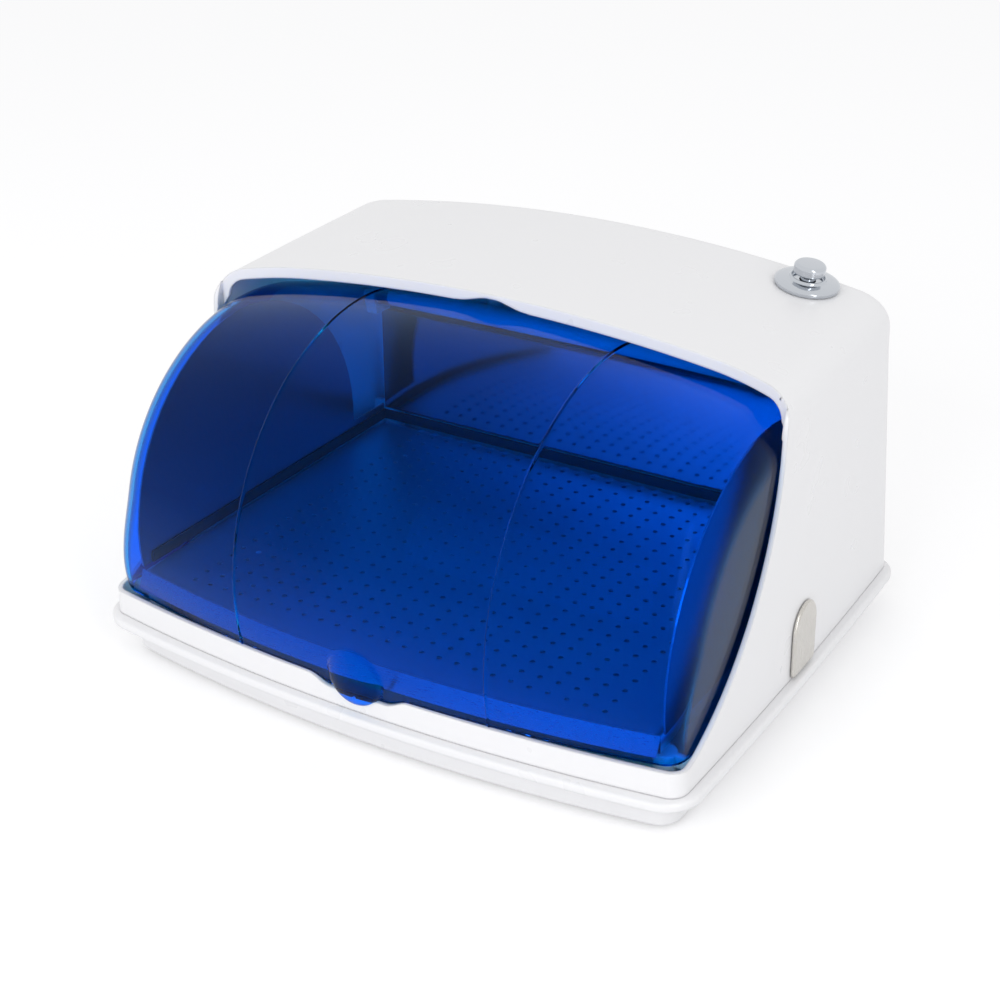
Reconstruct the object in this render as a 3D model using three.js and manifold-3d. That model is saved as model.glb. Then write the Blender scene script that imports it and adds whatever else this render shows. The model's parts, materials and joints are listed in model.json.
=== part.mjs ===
// Desktop UV sterilizer cabinet for small tools and bottles: a shallow white tray, a crowned white housing,
// a tinted door that turns up and back inside it, a steel chamber and an ultraviolet lamp behind the door.
// Millimetres, z up, the front towards -y. The origin lies under the middle of the cabinet, at its feet.
import * as THREE from "three";
import { mergeVertices } from "three/addons/utils/BufferGeometryUtils.js";
import Module from "manifold-3d";

const wasm = await Module();
wasm.setup();

// Plan of the cabinet, taken round the flange of its tray
const flangeWidth = 360;
const flangeDepth = 284.7;
const frontBow = 15.2;
const rearBow = 1.5;
const sideBow = 2;
const flangeCorner = 17;

// Fits and cutting
const fitGap = 0.3;
const overrun = 1;
const weldDistance = 0.001;

// Tray and feet
const footDrop = 2;
const footRadius = 8;
const footRecess = 1.5;
const footMargin = 45;
const footEndMargin = 47.35;
const trayWall = 2.5;
const trayInset = 12.4;
const trayDraft = 0.5;
const trayCorner = 10;
const trayEdge = 1.6;
const flangeUnder = 20.3;
const flangeTop = 25.5;
const flangeRound = 1.2;
const upstandHeight = 4.5;
const upstandWall = 1.6;
const upstandLean = 0.4;
const ventLength = 34;
const ventWidth = 4;
const ventPitch = 10;
const ventCount = 6;
const ventMargin = 120;
const ventY = -20;

// Upper housing
const housingInset = 5.3;
const housingWall = 2.5;
const housingCorner = 8;
const sideDraft = 1;
const rearDraft = 9.3;
const roofHeight = 213.1;
const roofCrown = 950;
const roofFallShare = 0.034;
const shoulderRadius = 14.7;
const rearShoulderShare = 0.5;
const sillHeight = 39.5;
const rimBehindPivot = 5.9;
const rimEase = 46;
const rimSweep = 9;
const rimDepth = 6.3;
const rimWall = 2.6;
const rimCornerDrop = 21.1;
const rimTurnDrop = 29.1;
const rimFadeDrop = 30;
const rimFadeInset = 7;
const rimEndDrop = 43.1;
const notchWidth = 44;
const notchRise = 4;

// Cheek edge: a hollow arc in side view between a place under the roof and one over the sill
const cheekRadius = 147.2;
const cheekLead = 5.2;
const cheekTopDrop = 42.2;
const cheekFootBack = 22.9;
const cheekFootRise = 3.1;
const cheekFoot = 14;

// Door and its pivot
const pivotBack = 116.1;
const pivotZ = 69.6;
const doorSideGap = 9;
const doorRoofGap = 15.3;
const doorCrown = 800;
const doorWall = 2.5;
const doorFillet = 28;
const doorFootFillet = 12;
const doorFilletSpanAngle = 30;
const doorTopAngle = 77;
const doorFacets = 72;
const doorSkirtBack = 60;
const hubRadius = 14;
const doorRibPlace = 75.6;
const doorRibWidth = 1.4;
const doorRibHeight = 0.5;
const gripWidth = 36;
const gripDepth = 15;
const gripHeight = 31;
const gripProud = 5.4;
const gripCentre = 45;

// Pivot screws and bushes
const shoulderScrewRadius = 4;
const screwThreadRadius = 2;
const screwHeadRadius = 6;
const screwHeadHeight = 2.1;
const screwThreadLength = 2.9;
const bushWall = 2;
const pivotBossRadius = 9;

// Chamber
const sheet = 1;
const floorHeight = 52;
const floorRearMargin = 35.2;
const floorFrontMargin = 11.2;
const floorBow = 16.2;
const floorSkirt = 10;
const floorHolePitch = 21;
const floorHoleRadius = 1.7;
const floorHoleMargin = 32;
const linerInset = 21;
const linerGap = 4.8;
const linerHeel = 10;
const rearPanelHeight = 64;
const rearPanelGap = 14;
const rearHem = 6;
const standoffMargin = 60;
const standoffWall = 3;

// Lamp and reflector
const lampRearMargin = 52.2;
const lampDrop = 63.1;
const tubeRadius = 8;
const lampMargin = 36;
const capLength = 8;
const capRadius = 8.3;
const pinRadius = 1.2;
const pinLength = 6.4;
const pinSpacing = 5;
const socketThickness = 7.6;
const socketWidth = 20;
const socketHeight = 24;
const socketTaperShare = 0.7;
const reflectorRadius = 17.5;
const reflectorSpreadAngle = 200;
const reflectorPostPlace = 60;
const reflectorPostRadius = 5;
const reflectorScrewLength = 12;

// Housing screws
const bossMargin = 23;
const bossFrontMargin = 24.5;
const bossRearMargin = 24.2;
const bossRadius = 6;
const bossFrontTop = 38;
const bossRearTop = 60;
const gussetWall = 3;
const trayTubeRadius = 7;
const screwRadius = 1.6;
const screwHead = 3.7;
const screwHeadThickness = 2.4;
const screwSunk = 8;
const screwReach = 9;

// Floor posts
const postMargin = 60;
const postEndMargin = 67.35;
const postRadius = 5;

// Push button on the roof
const buttonMargin = 50.7;
const buttonRearMargin = 52;
const bezelRadius = 17.6;
const bezelEdge = 3.4;
const bezelCrown = 1.1;
const collarRadius = 9.8;
const collarHeight = 1.3;
const collarWall = 0.9;
const capBrim = 8.6;
const capBottom = 7.3;
const capHeight = 5.6;
const capRound = 1.2;
const stemRadius = 4;
const stemLength = 10;
const switchThread = 6.2;
const switchThreadLength = 12;
const switchBodyRadius = 8.5;
const switchBodyLength = 15;
const nutAcross = 15;
const nutThickness = 3;
const tagLength = 6;
const tagWidth = 4.8;
const tagThickness = 0.8;
const bezelLipShare = 0.92;
const roundShare = 0.3;
const collarShoulderShare = 0.7;

// Bright clip plate on the right cheek
const clipY = 8;
const clipWidth = 32;
const clipHeight = 40;
const clipThickness = 2.2;
const clipBevel = 1.1;

// Door interlock switch
const interlockBack = 45.5;
const interlockWidth = 4;
const interlockWallShare = 0.92;
const interlockLength = 16;
const interlockHeight = 10;
const interlockDrop = 4.5;
const plungerRadius = 1.1;

// Supply parts under the chamber floor
const ballastMargin = 118;
const ballastRearMargin = 97.2;
const ballastLength = 84;
const ballastWidth = 40;
const ballastHeight = 30;
const ballastFoot = 12;
const starterMargin = 100;
const starterRearMargin = 109.2;
const starterRadius = 10.7;
const starterLength = 36;
const starterBase = 14;
const starterCrownShare = 0.8;
const holderShare = 1.15;
const blockX = -20;
const blockRearMargin = 53.2;
const blockPitch = 10;
const blockWays = 5;
const blockWidth = 17;
const blockHeight = 14;
const cordMargin = 70;
const cordZ = 12.2;
const cordBore = 3.2;
const cordBody = 5;
const cordFlange = 7.2;
const cordFlangeThickness = 2;

// Finishes
const finishes = {
  whitePlastic: { color: 0xf1f1f2, roughness: 0.35, metalness: 0 },
  tintedAcrylic: { color: 0x0034c8, roughness: 0.08, metalness: 0 },
  brightSteel: { color: 0xc9ccd0, roughness: 0.18, metalness: 1 },
  chrome: { color: 0xd8dadd, roughness: 0.08, metalness: 1 },
  zincSteel: { color: 0xa9adb2, roughness: 0.4, metalness: 1 },
  blackPlastic: { color: 0x1b1c1e, roughness: 0.5, metalness: 0 },
  rubber: { color: 0x2a2b2d, roughness: 0.9, metalness: 0 },
  nylon: { color: 0xe6e3da, roughness: 0.55, metalness: 0 },
  lampGlass: { color: 0xdfe8f2, roughness: 0.05, metalness: 0 },
  aluminium: { color: 0xbfc3c8, roughness: 0.35, metalness: 1 },
};

const right = new THREE.Vector3(1, 0, 0);
const back = new THREE.Vector3(0, 1, 0);
const up = new THREE.Vector3(0, 0, 1);
const radians = THREE.MathUtils.degToRad;
const middleY = (frontBow - rearBow) / 2;
const frontEdge = middleY - flangeDepth / 2;
const rearEdge = middleY + flangeDepth / 2;
const trayFloor = footDrop + trayWall;
const seam = flangeTop + fitGap;
const sides = { left: -1, right: 1 };

// Places across the cabinet that follow its width, and heights that follow its roof
const halfWidth = flangeWidth / 2;
const footX = halfWidth - footMargin;
const ventX = halfWidth - ventMargin;
const doorHalfWidth = halfWidth - doorSideGap;
const doorRadius = roofHeight - doorRoofGap - pivotZ;
const linerPlace = halfWidth - linerInset;
const floorHalfWidth = linerPlace - fitGap;
const floorHoleField = floorHalfWidth - floorHoleMargin;
const standoffPlace = halfWidth - standoffMargin;
const lampLength = 2 * (halfWidth - lampMargin);
const lampZ = roofHeight - lampDrop;
const bossX = halfWidth - bossMargin;
const postX = halfWidth - postMargin;
const buttonX = halfWidth - buttonMargin;
const ballastX = halfWidth - ballastMargin;
const starterX = starterMargin - halfWidth;
const cordX = cordMargin - halfWidth;
const rimLow = lampZ;

// Places along the cabinet that follow its depth
const pivotY = frontEdge + pivotBack;
const rimPlace = pivotY + rimBehindPivot;
const footY = flangeDepth / 2 - footEndMargin;
const postY = flangeDepth / 2 - postEndMargin;
const floorRear = rearEdge - floorRearMargin;
const floorFrontSide = frontEdge + floorFrontMargin;
const floorFrontMiddle = floorFrontSide - floorBow;
const lampY = rearEdge - lampRearMargin;
const bossFrontY = frontEdge + bossFrontMargin;
const bossRearY = rearEdge - bossRearMargin;
const buttonY = rearEdge - buttonRearMargin;
const interlockY = frontEdge + interlockBack;
const ballastY = rearEdge - ballastRearMargin;
const starterY = rearEdge - starterRearMargin;
const blockY = rearEdge - blockRearMargin;

const cabinet = new THREE.Group();

// A closed geometry as a solid that can be joined and cut, with its loose corners welded.
function solid(geometry) {
  const loose = geometry.index ? geometry.toNonIndexed() : geometry;
  const bare = new THREE.BufferGeometry();
  bare.setAttribute("position", loose.getAttribute("position"));
  const welded = mergeVertices(bare, weldDistance);
  const corners = welded.index.array;
  const kept = [];
  for (let i = 0; i < corners.length; i += 3) {
    const [a, b, c] = corners.slice(i, i + 3);
    if (a !== b && b !== c && c !== a) kept.push(a, b, c);
  }
  const mesh = new wasm.Mesh({
    numProp: 3,
    vertProperties: welded.attributes.position.array,
    triVerts: new Uint32Array(kept),
  });
  return new wasm.Manifold(mesh);
}

// The named mesh of a finished solid, added to its group.
function place(name, body, finish, group = cabinet) {
  const { vertProperties, triVerts } = body.getMesh();
  const geometry = new THREE.BufferGeometry();
  geometry.setAttribute("position", new THREE.BufferAttribute(new Float32Array(vertProperties), 3));
  geometry.setIndex(new THREE.BufferAttribute(new Uint32Array(triVerts), 1));
  const faceted = geometry.toNonIndexed();
  faceted.computeVertexNormals();
  const mesh = new THREE.Mesh(faceted, new THREE.MeshStandardMaterial(finish));
  mesh.name = name;
  group.add(mesh);
  return mesh;
}

// An outline drawn with y to the right and z up, carried along x.
function alongX(shape, from, to, steps = 12) {
  const geometry = new THREE.ExtrudeGeometry(shape, {
    depth: to - from,
    bevelEnabled: false,
    curveSegments: steps,
  });
  geometry.applyMatrix4(new THREE.Matrix4().makeBasis(back, up, right));
  return solid(geometry.translate(from, 0, 0));
}

// An outline drawn with x to the right and z up, carried along y.
function alongY(shape, from, to) {
  const geometry = new THREE.ExtrudeGeometry(shape, { depth: to - from, bevelEnabled: false });
  return solid(geometry.rotateX(Math.PI / 2).translate(0, to, 0));
}

// A plan outline carried up z.
function alongZ(shape, from, to, steps = 12) {
  const geometry = new THREE.ExtrudeGeometry(shape, {
    depth: to - from,
    bevelEnabled: false,
    curveSegments: steps,
  });
  return solid(geometry.translate(0, 0, from));
}

// A box between two corners.
function block(low, high) {
  const size = new THREE.Vector3().subVectors(high, low);
  const centre = new THREE.Vector3().addVectors(low, high).multiplyScalar(1 / 2);
  return solid(new THREE.BoxGeometry(size.x, size.y, size.z).translate(centre.x, centre.y, centre.z));
}

// A round bar from one point to another along x, y or z.
function bar(radius, from, to, segments = 16) {
  const run = new THREE.Vector3().subVectors(to, from);
  const geometry = new THREE.CylinderGeometry(radius, radius, run.length(), segments);
  const turn = new THREE.Quaternion().setFromUnitVectors(back, run.clone().normalize());
  geometry.applyQuaternion(turn);
  const centre = new THREE.Vector3().addVectors(from, to).multiplyScalar(1 / 2);
  return solid(geometry.translate(centre.x, centre.y, centre.z));
}

// A turned form about z from its half section, given as pairs of radius and height.
function turned(section, segments = 32) {
  const points = section.map(([radius, height]) => new THREE.Vector2(radius, height));
  const geometry = new THREE.LatheGeometry(points, segments);
  return solid(geometry.rotateX(Math.PI / 2));
}

function at(x, y, z) {
  return new THREE.Vector3(x, y, z);
}

// Points on an arc, from one angle to another in degrees.
function arcPoints(centreX, centreY, radius, from, to, steps) {
  return Array.from({ length: steps + 1 }, (_, i) => {
    const angle = radians(from + ((to - from) * i) / steps);
    return new THREE.Vector2(centreX + radius * Math.cos(angle), centreY + radius * Math.sin(angle));
  });
}

// A ring of points round the cabinet, counter-clockwise from above: a rounded rectangle set in from the
// flange, with its edges then bowed out.
function planRing(inset, corner, heightAt) {
  const cornerSteps = 4;
  const sideSteps = 4;
  const widthSteps = 10;
  const half = halfWidth - inset.side;
  const front = frontEdge + inset.front;
  const rear = rearEdge - inset.rear;
  const nearX = half - corner;
  const corners = [
    arcPoints(nearX, front + corner, corner, -90, 0, cornerSteps),
    arcPoints(nearX, rear - corner, corner, 0, 90, cornerSteps),
    arcPoints(-nearX, rear - corner, corner, 90, 180, cornerSteps),
    arcPoints(-nearX, front + corner, corner, 180, 270, cornerSteps),
  ];
  const outline = [];
  corners.forEach((arc, i) => {
    outline.push(...arc);
    const start = arc[cornerSteps];
    const end = corners[(i + 1) % corners.length][0];
    const steps = i % 2 ? widthSteps : sideSteps;
    for (let k = 1; k < steps; k++) outline.push(start.clone().lerp(end, k / steps));
  });
  const middle = (front + rear) / 2;
  return outline.map(({ x, y }) => {
    const along = (y - middle) / ((rear - front) / 2);
    const across = x / half;
    const bowX = sideBow * across * (1 - along * along);
    const bowY = (along < 0 ? frontBow : rearBow) * along * (1 - across * across);
    const point = at(x + bowX, y + bowY, 0);
    point.z = heightAt(point.x, point.y);
    return point;
  });
}

// The skin through a run of rings of equal count, with a flat or domed fan across its first and last.
function loft(rings) {
  const count = rings[0].length;
  const middles = [rings[0], rings[rings.length - 1]].map((ring) =>
    ring.reduce((sum, point) => sum.add(point), at(0, 0, 0)).multiplyScalar(1 / count),
  );
  const positions = [];
  const triangle = (...points) => points.forEach((p) => positions.push(p.x, p.y, p.z));
  for (let i = 0; i < count; i++) {
    const next = (i + 1) % count;
    triangle(middles[0], rings[0][next], rings[0][i]);
    for (let r = 1; r < rings.length; r++) {
      const [low, high] = [rings[r - 1], rings[r]];
      triangle(low[i], low[next], high[next]);
      triangle(low[i], high[next], high[i]);
    }
    triangle(middles[1], rings[rings.length - 1][i], rings[rings.length - 1][next]);
  }
  const geometry = new THREE.BufferGeometry();
  geometry.setAttribute("position", new THREE.Float32BufferAttribute(positions, 3));
  return solid(geometry);
}

// The roof's height over a place in plan: it falls away to both sides as an arc, and a little to the front.
function roofAt(x, y) {
  const crownDrop = roofCrown - Math.sqrt(roofCrown * roofCrown - x * x);
  const rearLine = rearEdge + rearBow - housingInset;
  return roofHeight - crownDrop - roofFallShare * Math.max(rearLine - y, 0);
}

// Where the rim over the door stands: straight in its middle, swept forward to meet the cheeks.
function rimAt(x) {
  const beyond = Math.max(Math.abs(x) - doorHalfWidth + rimEase, 0) / rimEase;
  return rimPlace - rimSweep * beyond * beyond;
}

// Set-ins of the housing's wall at a height, from the draft of its mould.
function housingInsets(height, thickness) {
  const rise = height - seam;
  const side = housingInset + thickness + rise * Math.tan(radians(sideDraft));
  const rear = housingInset + thickness + rise * Math.tan(radians(rearDraft));
  return { side, front: side, rear };
}

// The housing as a closed form: drafted walls, a rounded shoulder and a crowned roof, set in by a thickness.
function housingForm(thickness, bottom, shoulderSteps, roofShares) {
  const radius = shoulderRadius - thickness;
  const corner = housingCorner - thickness;
  const springing = roofAt(halfWidth, middleY) - shoulderRadius;
  const rings = [planRing(housingInsets(bottom, thickness), corner, () => bottom)];
  for (let i = 0; i <= shoulderSteps; i++) {
    const angle = radians((90 * i) / shoulderSteps);
    const inward = radius * (1 - Math.cos(angle));
    const drop = thickness + radius * (1 - Math.sin(angle));
    const inset = housingInsets(springing, thickness);
    const rear = inset.rear + inward * rearShoulderShare;
    const moved = { side: inset.side + inward, front: inset.front + inward, rear };
    rings.push(planRing(moved, corner, (x, y) => roofAt(x, y) - drop));
  }
  const shoulder = rings[rings.length - 1];
  for (const share of roofShares) {
    const ring = shoulder.map((point) => at(point.x * share, middleY + (point.y - middleY) * share, 0));
    ring.forEach((point) => (point.z = roofAt(point.x, point.y) - thickness));
    rings.push(ring);
  }
  return loft(rings);
}

// Points down the hollow arc of the cheeks' front edge, from one end to the other. Its centre lies ahead.
function cheekArc(top, foot) {
  const chord = new THREE.Vector2().subVectors(foot, top);
  const middle = top.clone().add(foot).multiplyScalar(1 / 2);
  const rise = Math.sqrt(cheekRadius ** 2 - chord.lengthSq() / 4);
  const ahead = new THREE.Vector2(chord.y, -chord.x).normalize().multiplyScalar(rise);
  const centre = middle.add(ahead);
  const angleTo = (point) => THREE.MathUtils.radToDeg(Math.atan2(point.y - centre.y, point.x - centre.x));
  return arcPoints(centre.x, centre.y, cheekRadius, angleTo(top), angleTo(foot), 16);
}

// The front edge of the cheeks in side view, from the rim's end down along their hollow arc, set back by a
// distance.
function cheekEdge(setBack) {
  const end = new THREE.Vector2(rimAt(doorHalfWidth), roofHeight - rimCornerDrop);
  const top = new THREE.Vector2(end.x - cheekLead, roofHeight - cheekTopDrop);
  const arc = cheekArc(top, new THREE.Vector2(frontEdge + cheekFootBack, sillHeight + cheekFootRise));
  const turnHeight = roofHeight - rimTurnDrop;
  const turn = new THREE.CubicBezierCurve(
    end,
    new THREE.Vector2(end.x, turnHeight),
    new THREE.Vector2(top.x, turnHeight),
    top,
  );
  return [...turn.getPoints(6), ...arc.slice(1)].map((point) => new THREE.Vector2(point.x + setBack, point.y));
}

// Side view outline of what is cut away for the door: back to the rim above, then along the cheeks' edge,
// and forward at the height of the sill.
function openingShape() {
  const far = flangeDepth;
  const edge = cheekEdge(0);
  const foot = edge[edge.length - 1];
  const shape = new THREE.Shape();
  shape.moveTo(edge[0].x, roofHeight + overrun);
  edge.forEach((point) => shape.lineTo(point.x, point.y));
  shape.quadraticCurveTo(foot.x - cheekFoot / 2, sillHeight, foot.x - cheekFoot, sillHeight);
  shape.lineTo(-far, sillHeight);
  shape.lineTo(-far, roofHeight + overrun);
  return shape;
}

// The clear way for the door between the cheeks, level with the sill.
function doorway() {
  const half = doorHalfWidth + 2 * fitGap;
  const rear = rimAt(doorHalfWidth) - cheekLead;
  return block(at(-half, -flangeDepth, sillHeight), at(half, rear, pivotZ));
}

// Plan outline of a band along the rim, from one line across the cabinet to another.
function rimBand(front, rear, half) {
  const steps = 20;
  const shape = new THREE.Shape();
  const across = Array.from({ length: steps + 1 }, (_, i) => half * ((2 * i) / steps - 1));
  shape.moveTo(-half, rear(-half));
  across.forEach((x) => shape.lineTo(x, front(x)));
  across.reverse().forEach((x) => shape.lineTo(x, rear(x)));
  return shape;
}

// All that lies above the rim's ends, where its strip runs out against the wall in a slope.
function rimReach() {
  const top = roofHeight + overrun;
  const wall = doorHalfWidth + overrun;
  const points = [
    [halfWidth, roofHeight - rimEndDrop],
    [wall, roofHeight - rimEndDrop],
    [wall - rimFadeInset, roofHeight - rimFadeDrop],
  ];
  const shape = new THREE.Shape();
  shape.moveTo(-halfWidth, top);
  points.forEach(([x, z]) => shape.lineTo(-x, z));
  points.reverse().forEach(([x, z]) => shape.lineTo(x, z));
  shape.lineTo(halfWidth, top);
  return alongY(shape, -flangeDepth, flangeDepth);
}

// The turned-down rim over the door, which follows the roof and both shoulders as a strip of even width.
// A wave in the middle of its lower edge leaves room above the door's finger grip.
function rimStrip(outside) {
  const half = doorHalfWidth;
  const middle = alongZ(rimBand(rimAt, (x) => rimAt(x) + rimWall, half), rimLow, roofHeight);
  const front = cheekEdge(0);
  const rear = cheekEdge(rimWall).reverse();
  const ends = alongX(new THREE.Shape([...front, ...rear]), -halfWidth, halfWidth)
    .subtract(block(at(-half, -flangeDepth, rimLow), at(half, flangeDepth, roofHeight)));
  const wave = new THREE.Shape();
  const low = roofAt(0, rimPlace) - rimDepth;
  const steps = 12;
  wave.moveTo(-notchWidth / 2, low - notchRise);
  for (let i = 0; i <= steps; i++) {
    const rise = (notchRise * (1 - Math.cos((2 * Math.PI * i) / steps))) / 2;
    wave.lineTo(notchWidth * (i / steps - 1 / 2), low + rise);
  }
  wave.lineTo(notchWidth / 2, low - notchRise);
  const cut = alongY(wave, -flangeDepth / 2, 0);
  const within = housingForm(rimDepth, seam - overrun, 5, [0.8, 0.6, 0.4, 0.2]);
  return middle.add(ends).intersect(rimReach()).intersect(outside).subtract(within).subtract(cut);
}

// A boss that the door's pivot screw is driven into, moulded on the inside of a cheek.
function pivotBoss(side) {
  const near = side * (doorHalfWidth + fitGap);
  const far = side * halfWidth;
  return bar(pivotBossRadius, at(near, pivotY, pivotZ), at(far, pivotY, pivotZ), 24);
}

function screwBosses(side) {
  const x = side * bossX;
  const wall = side * halfWidth;
  const gussetLow = flangeTop + upstandHeight + fitGap;
  const parts = [];
  for (const [y, top] of [[bossFrontY, bossFrontTop], [bossRearY, bossRearTop]]) {
    parts.push(bar(bossRadius, at(x, y, seam + fitGap), at(x, y, top)));
    const [low, high] = [Math.min(x, wall), Math.max(x, wall)];
    parts.push(block(at(low, y - gussetWall / 2, gussetLow), at(high, y + gussetWall / 2, top)));
  }
  return parts;
}

// Ribs on the rear wall that the steel rear panel is fixed to.
function standoff(x) {
  const low = at(x - standoffWall / 2, floorRear + rearHem, floorHeight + rearPanelGap + rearHem);
  const high = at(x + standoffWall / 2, rearEdge, floorHeight + rearPanelGap + rearPanelHeight);
  return block(low, high);
}

function buildHousing() {
  const outside = housingForm(0, seam, 5, [0.8, 0.6, 0.4, 0.2]);
  const inside = housingForm(housingWall, seam - overrun, 3, [0.65, 0.3]);
  let body = outside.subtract(inside);
  body = body.subtract(alongX(openingShape(), -flangeWidth, flangeWidth, 6)).subtract(doorway());
  const ahead = rimBand(() => -flangeDepth, rimAt, doorHalfWidth);
  body = body.subtract(alongZ(ahead, rimLow, roofHeight + overrun));
  const added = [rimStrip(outside)];
  for (const side of Object.values(sides)) {
    added.push(pivotBoss(side), ...screwBosses(side));
    added.push(standoff(side * standoffPlace), reflectorPost(side * reflectorPostPlace));
  }
  for (const part of added) body = body.add(part.intersect(outside));
  for (const side of Object.values(sides)) {
    const boreEnd = doorHalfWidth + fitGap + screwThreadLength + fitGap;
    const bore = bar(screwThreadRadius + fitGap, at(0, pivotY, pivotZ), at(side * boreEnd, pivotY, pivotZ));
    body = body.subtract(bore);
    for (const y of [bossFrontY, bossRearY]) {
      const bottom = at(side * bossX, y, seam - overrun);
      body = body.subtract(bar(screwRadius + fitGap, bottom, at(side * bossX, y, seam + screwReach)));
    }
    const post = side * reflectorPostPlace;
    const drilled = reflectorBack() + reflectorScrewLength;
    body = body.subtract(bar(screwRadius + fitGap, at(post, lampY, lampZ), at(post, lampY, drilled)));
  }
  const nutRoom = nutAcross / 2 / Math.cos(Math.PI / 6) + fitGap;
  body = body.subtract(buttonBore(switchThread + fitGap, -shoulderRadius, shoulderRadius));
  body = body.subtract(buttonBore(nutRoom, -shoulderRadius, -housingWall));
  place("upper_housing", body, finishes.whitePlastic);
}

function buildTray() {
  const innerInset = trayInset + trayWall;
  const upstandInset = housingInset + housingWall + fitGap;
  const upstandCorner = housingCorner - housingWall - fitGap;
  const flangeMiddle = (flangeUnder + flangeTop) / 2;
  const steps = [
    [trayInset + trayEdge, footDrop, trayCorner - trayEdge],
    [trayInset + trayEdge / 3, footDrop + trayEdge / 4, trayCorner - trayEdge / 3],
    [trayInset + trayDraft, footDrop + trayEdge, trayCorner],
    [trayInset, flangeUnder, trayCorner],
    [flangeRound, flangeUnder, flangeCorner - flangeRound],
    [0, flangeMiddle - flangeRound, flangeCorner],
    [0, flangeMiddle + flangeRound, flangeCorner],
    [flangeRound, flangeTop - flangeRound / 4, flangeCorner - flangeRound],
    [2 * flangeRound, flangeTop, flangeCorner - 2 * flangeRound],
    [upstandInset, flangeTop, upstandCorner],
    [upstandInset + upstandLean, flangeTop + upstandHeight, upstandCorner - upstandLean],
    [upstandInset + upstandWall, flangeTop + upstandHeight, upstandCorner - upstandWall],
    [upstandInset + upstandWall, flangeUnder + trayWall, upstandCorner - upstandWall],
    [innerInset, flangeUnder - trayWall, trayCorner - trayWall],
    [innerInset + trayDraft, trayFloor, trayCorner - trayWall],
  ];
  const rings = steps.map(([inset, height, corner]) =>
    planRing({ side: inset, front: inset, rear: inset }, corner, () => height),
  );
  let body = loft(rings);
  const midWall = trayInset + trayDraft + trayWall / 2;
  const inside = loft([
    planRing({ side: midWall, front: midWall, rear: midWall }, trayCorner, () => footDrop),
    planRing({ side: midWall, front: midWall, rear: midWall }, trayCorner, () => floorHeight),
  ]);
  const postTop = floorHeight - sheet - fitGap;
  for (const side of Object.values(sides)) {
    for (const y of [-postY, postY]) {
      const x = side * postX;
      body = body.add(bar(postRadius, at(x, y, trayFloor - overrun), at(x, y, postTop)));
    }
    for (const y of [bossFrontY, bossRearY]) {
      const x = side * bossX;
      body = body.add(bar(trayTubeRadius, at(x, y, footDrop + overrun), at(x, y, seam)));
      body = body.subtract(bar(screwRadius + fitGap, at(x, y, 0), at(x, y, floorHeight)));
      body = body.subtract(bar(screwHead + fitGap, at(x, y, 0), at(x, y, screwSunk + screwHeadThickness)));
    }
    for (const y of [-footY, footY]) {
      const x = side * footX;
      body = body.subtract(bar(footRadius + fitGap, at(x, y, 0), at(x, y, footDrop + footRecess), 24));
    }
  }
  const [low, high] = interlockSeat();
  body = body.add(block(low, high).intersect(inside));
  for (let i = 0; i < ventCount; i++) {
    const y = ventY + ventPitch * (i - (ventCount - 1) / 2);
    const slot = block(
      at(ventX - ventLength / 2, y - ventWidth / 2, 0),
      at(ventX + ventLength / 2, y + ventWidth / 2, trayFloor + overrun),
    );
    body = body.subtract(slot);
  }
  const cordRear = at(cordX, rearEdge, cordZ);
  body = body.subtract(bar(cordBody + fitGap, at(cordX, rearEdge / 2, cordZ), cordRear));
  place("base_tray", body, finishes.whitePlastic);
}

function buildFeet() {
  for (const [sideName, side] of Object.entries(sides)) {
    for (const [endName, end] of Object.entries({ front: -1, rear: 1 })) {
      const [x, y] = [side * footX, end * footY];
      const body = bar(footRadius, at(x, y, 0), at(x, y, footDrop + footRecess - fitGap), 24);
      place(`foot_${endName}_${sideName}`, body, finishes.rubber);
    }
  }
}

function buildHousingScrews() {
  for (const [sideName, side] of Object.entries(sides)) {
    for (const [endName, y] of Object.entries({ front: bossFrontY, rear: bossRearY })) {
      const x = side * bossX;
      const headTop = screwSunk + screwHeadThickness - fitGap;
      const head = bar(screwHead, at(x, y, headTop - screwHeadThickness), at(x, y, headTop));
      const shank = bar(screwRadius, at(x, y, screwSunk), at(x, y, seam + screwReach - fitGap));
      const slot = block(
        at(x - screwHead / 5, y - screwHead, 0),
        at(x + screwHead / 5, y + screwHead, headTop - screwHeadThickness / 2),
      );
      place(`housing_screw_${endName}_${sideName}`, head.add(shank).subtract(slot), finishes.zincSteel);
    }
  }
}

// The door's section across the cabinet, set in by a wall: a crown between two fillets, as pairs of place
// across and radius from the pivot's axis.
function doorSection(thickness, outerFillet) {
  const half = doorHalfWidth - thickness;
  const fillet = outerFillet - thickness;
  const crown = doorCrown - thickness;
  const crownCentre = doorRadius - doorCrown;
  const centreX = half - fillet;
  const centreRadius = crownCentre + Math.sqrt((crown - fillet) ** 2 - centreX ** 2);
  const lean = THREE.MathUtils.radToDeg(Math.asin(centreX / (crown - fillet)));
  return {
    centreX,
    centreRadius,
    fillet,
    points: [
      ...arcPoints(-centreX, centreRadius, fillet, 180, 90 + lean, 5),
      ...arcPoints(0, crownCentre, crown, 90 + lean, 90 - lean, 10).slice(1, -1),
      ...arcPoints(centreX, centreRadius, fillet, 90 - lean, 0, 5),
    ],
  };
}

// The radius of the fillets along the door's sides: small at the foot, and growing upwards to its full size.
function filletAt(angle) {
  const foot = 180 + THREE.MathUtils.radToDeg(Math.asin((pivotZ - sillHeight) / doorRadius));
  const share = THREE.MathUtils.smoothstep(Math.abs(angle - foot), 0, doorFilletSpanAngle);
  return doorFootFillet + (doorFillet - doorFootFillet) * share;
}

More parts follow.
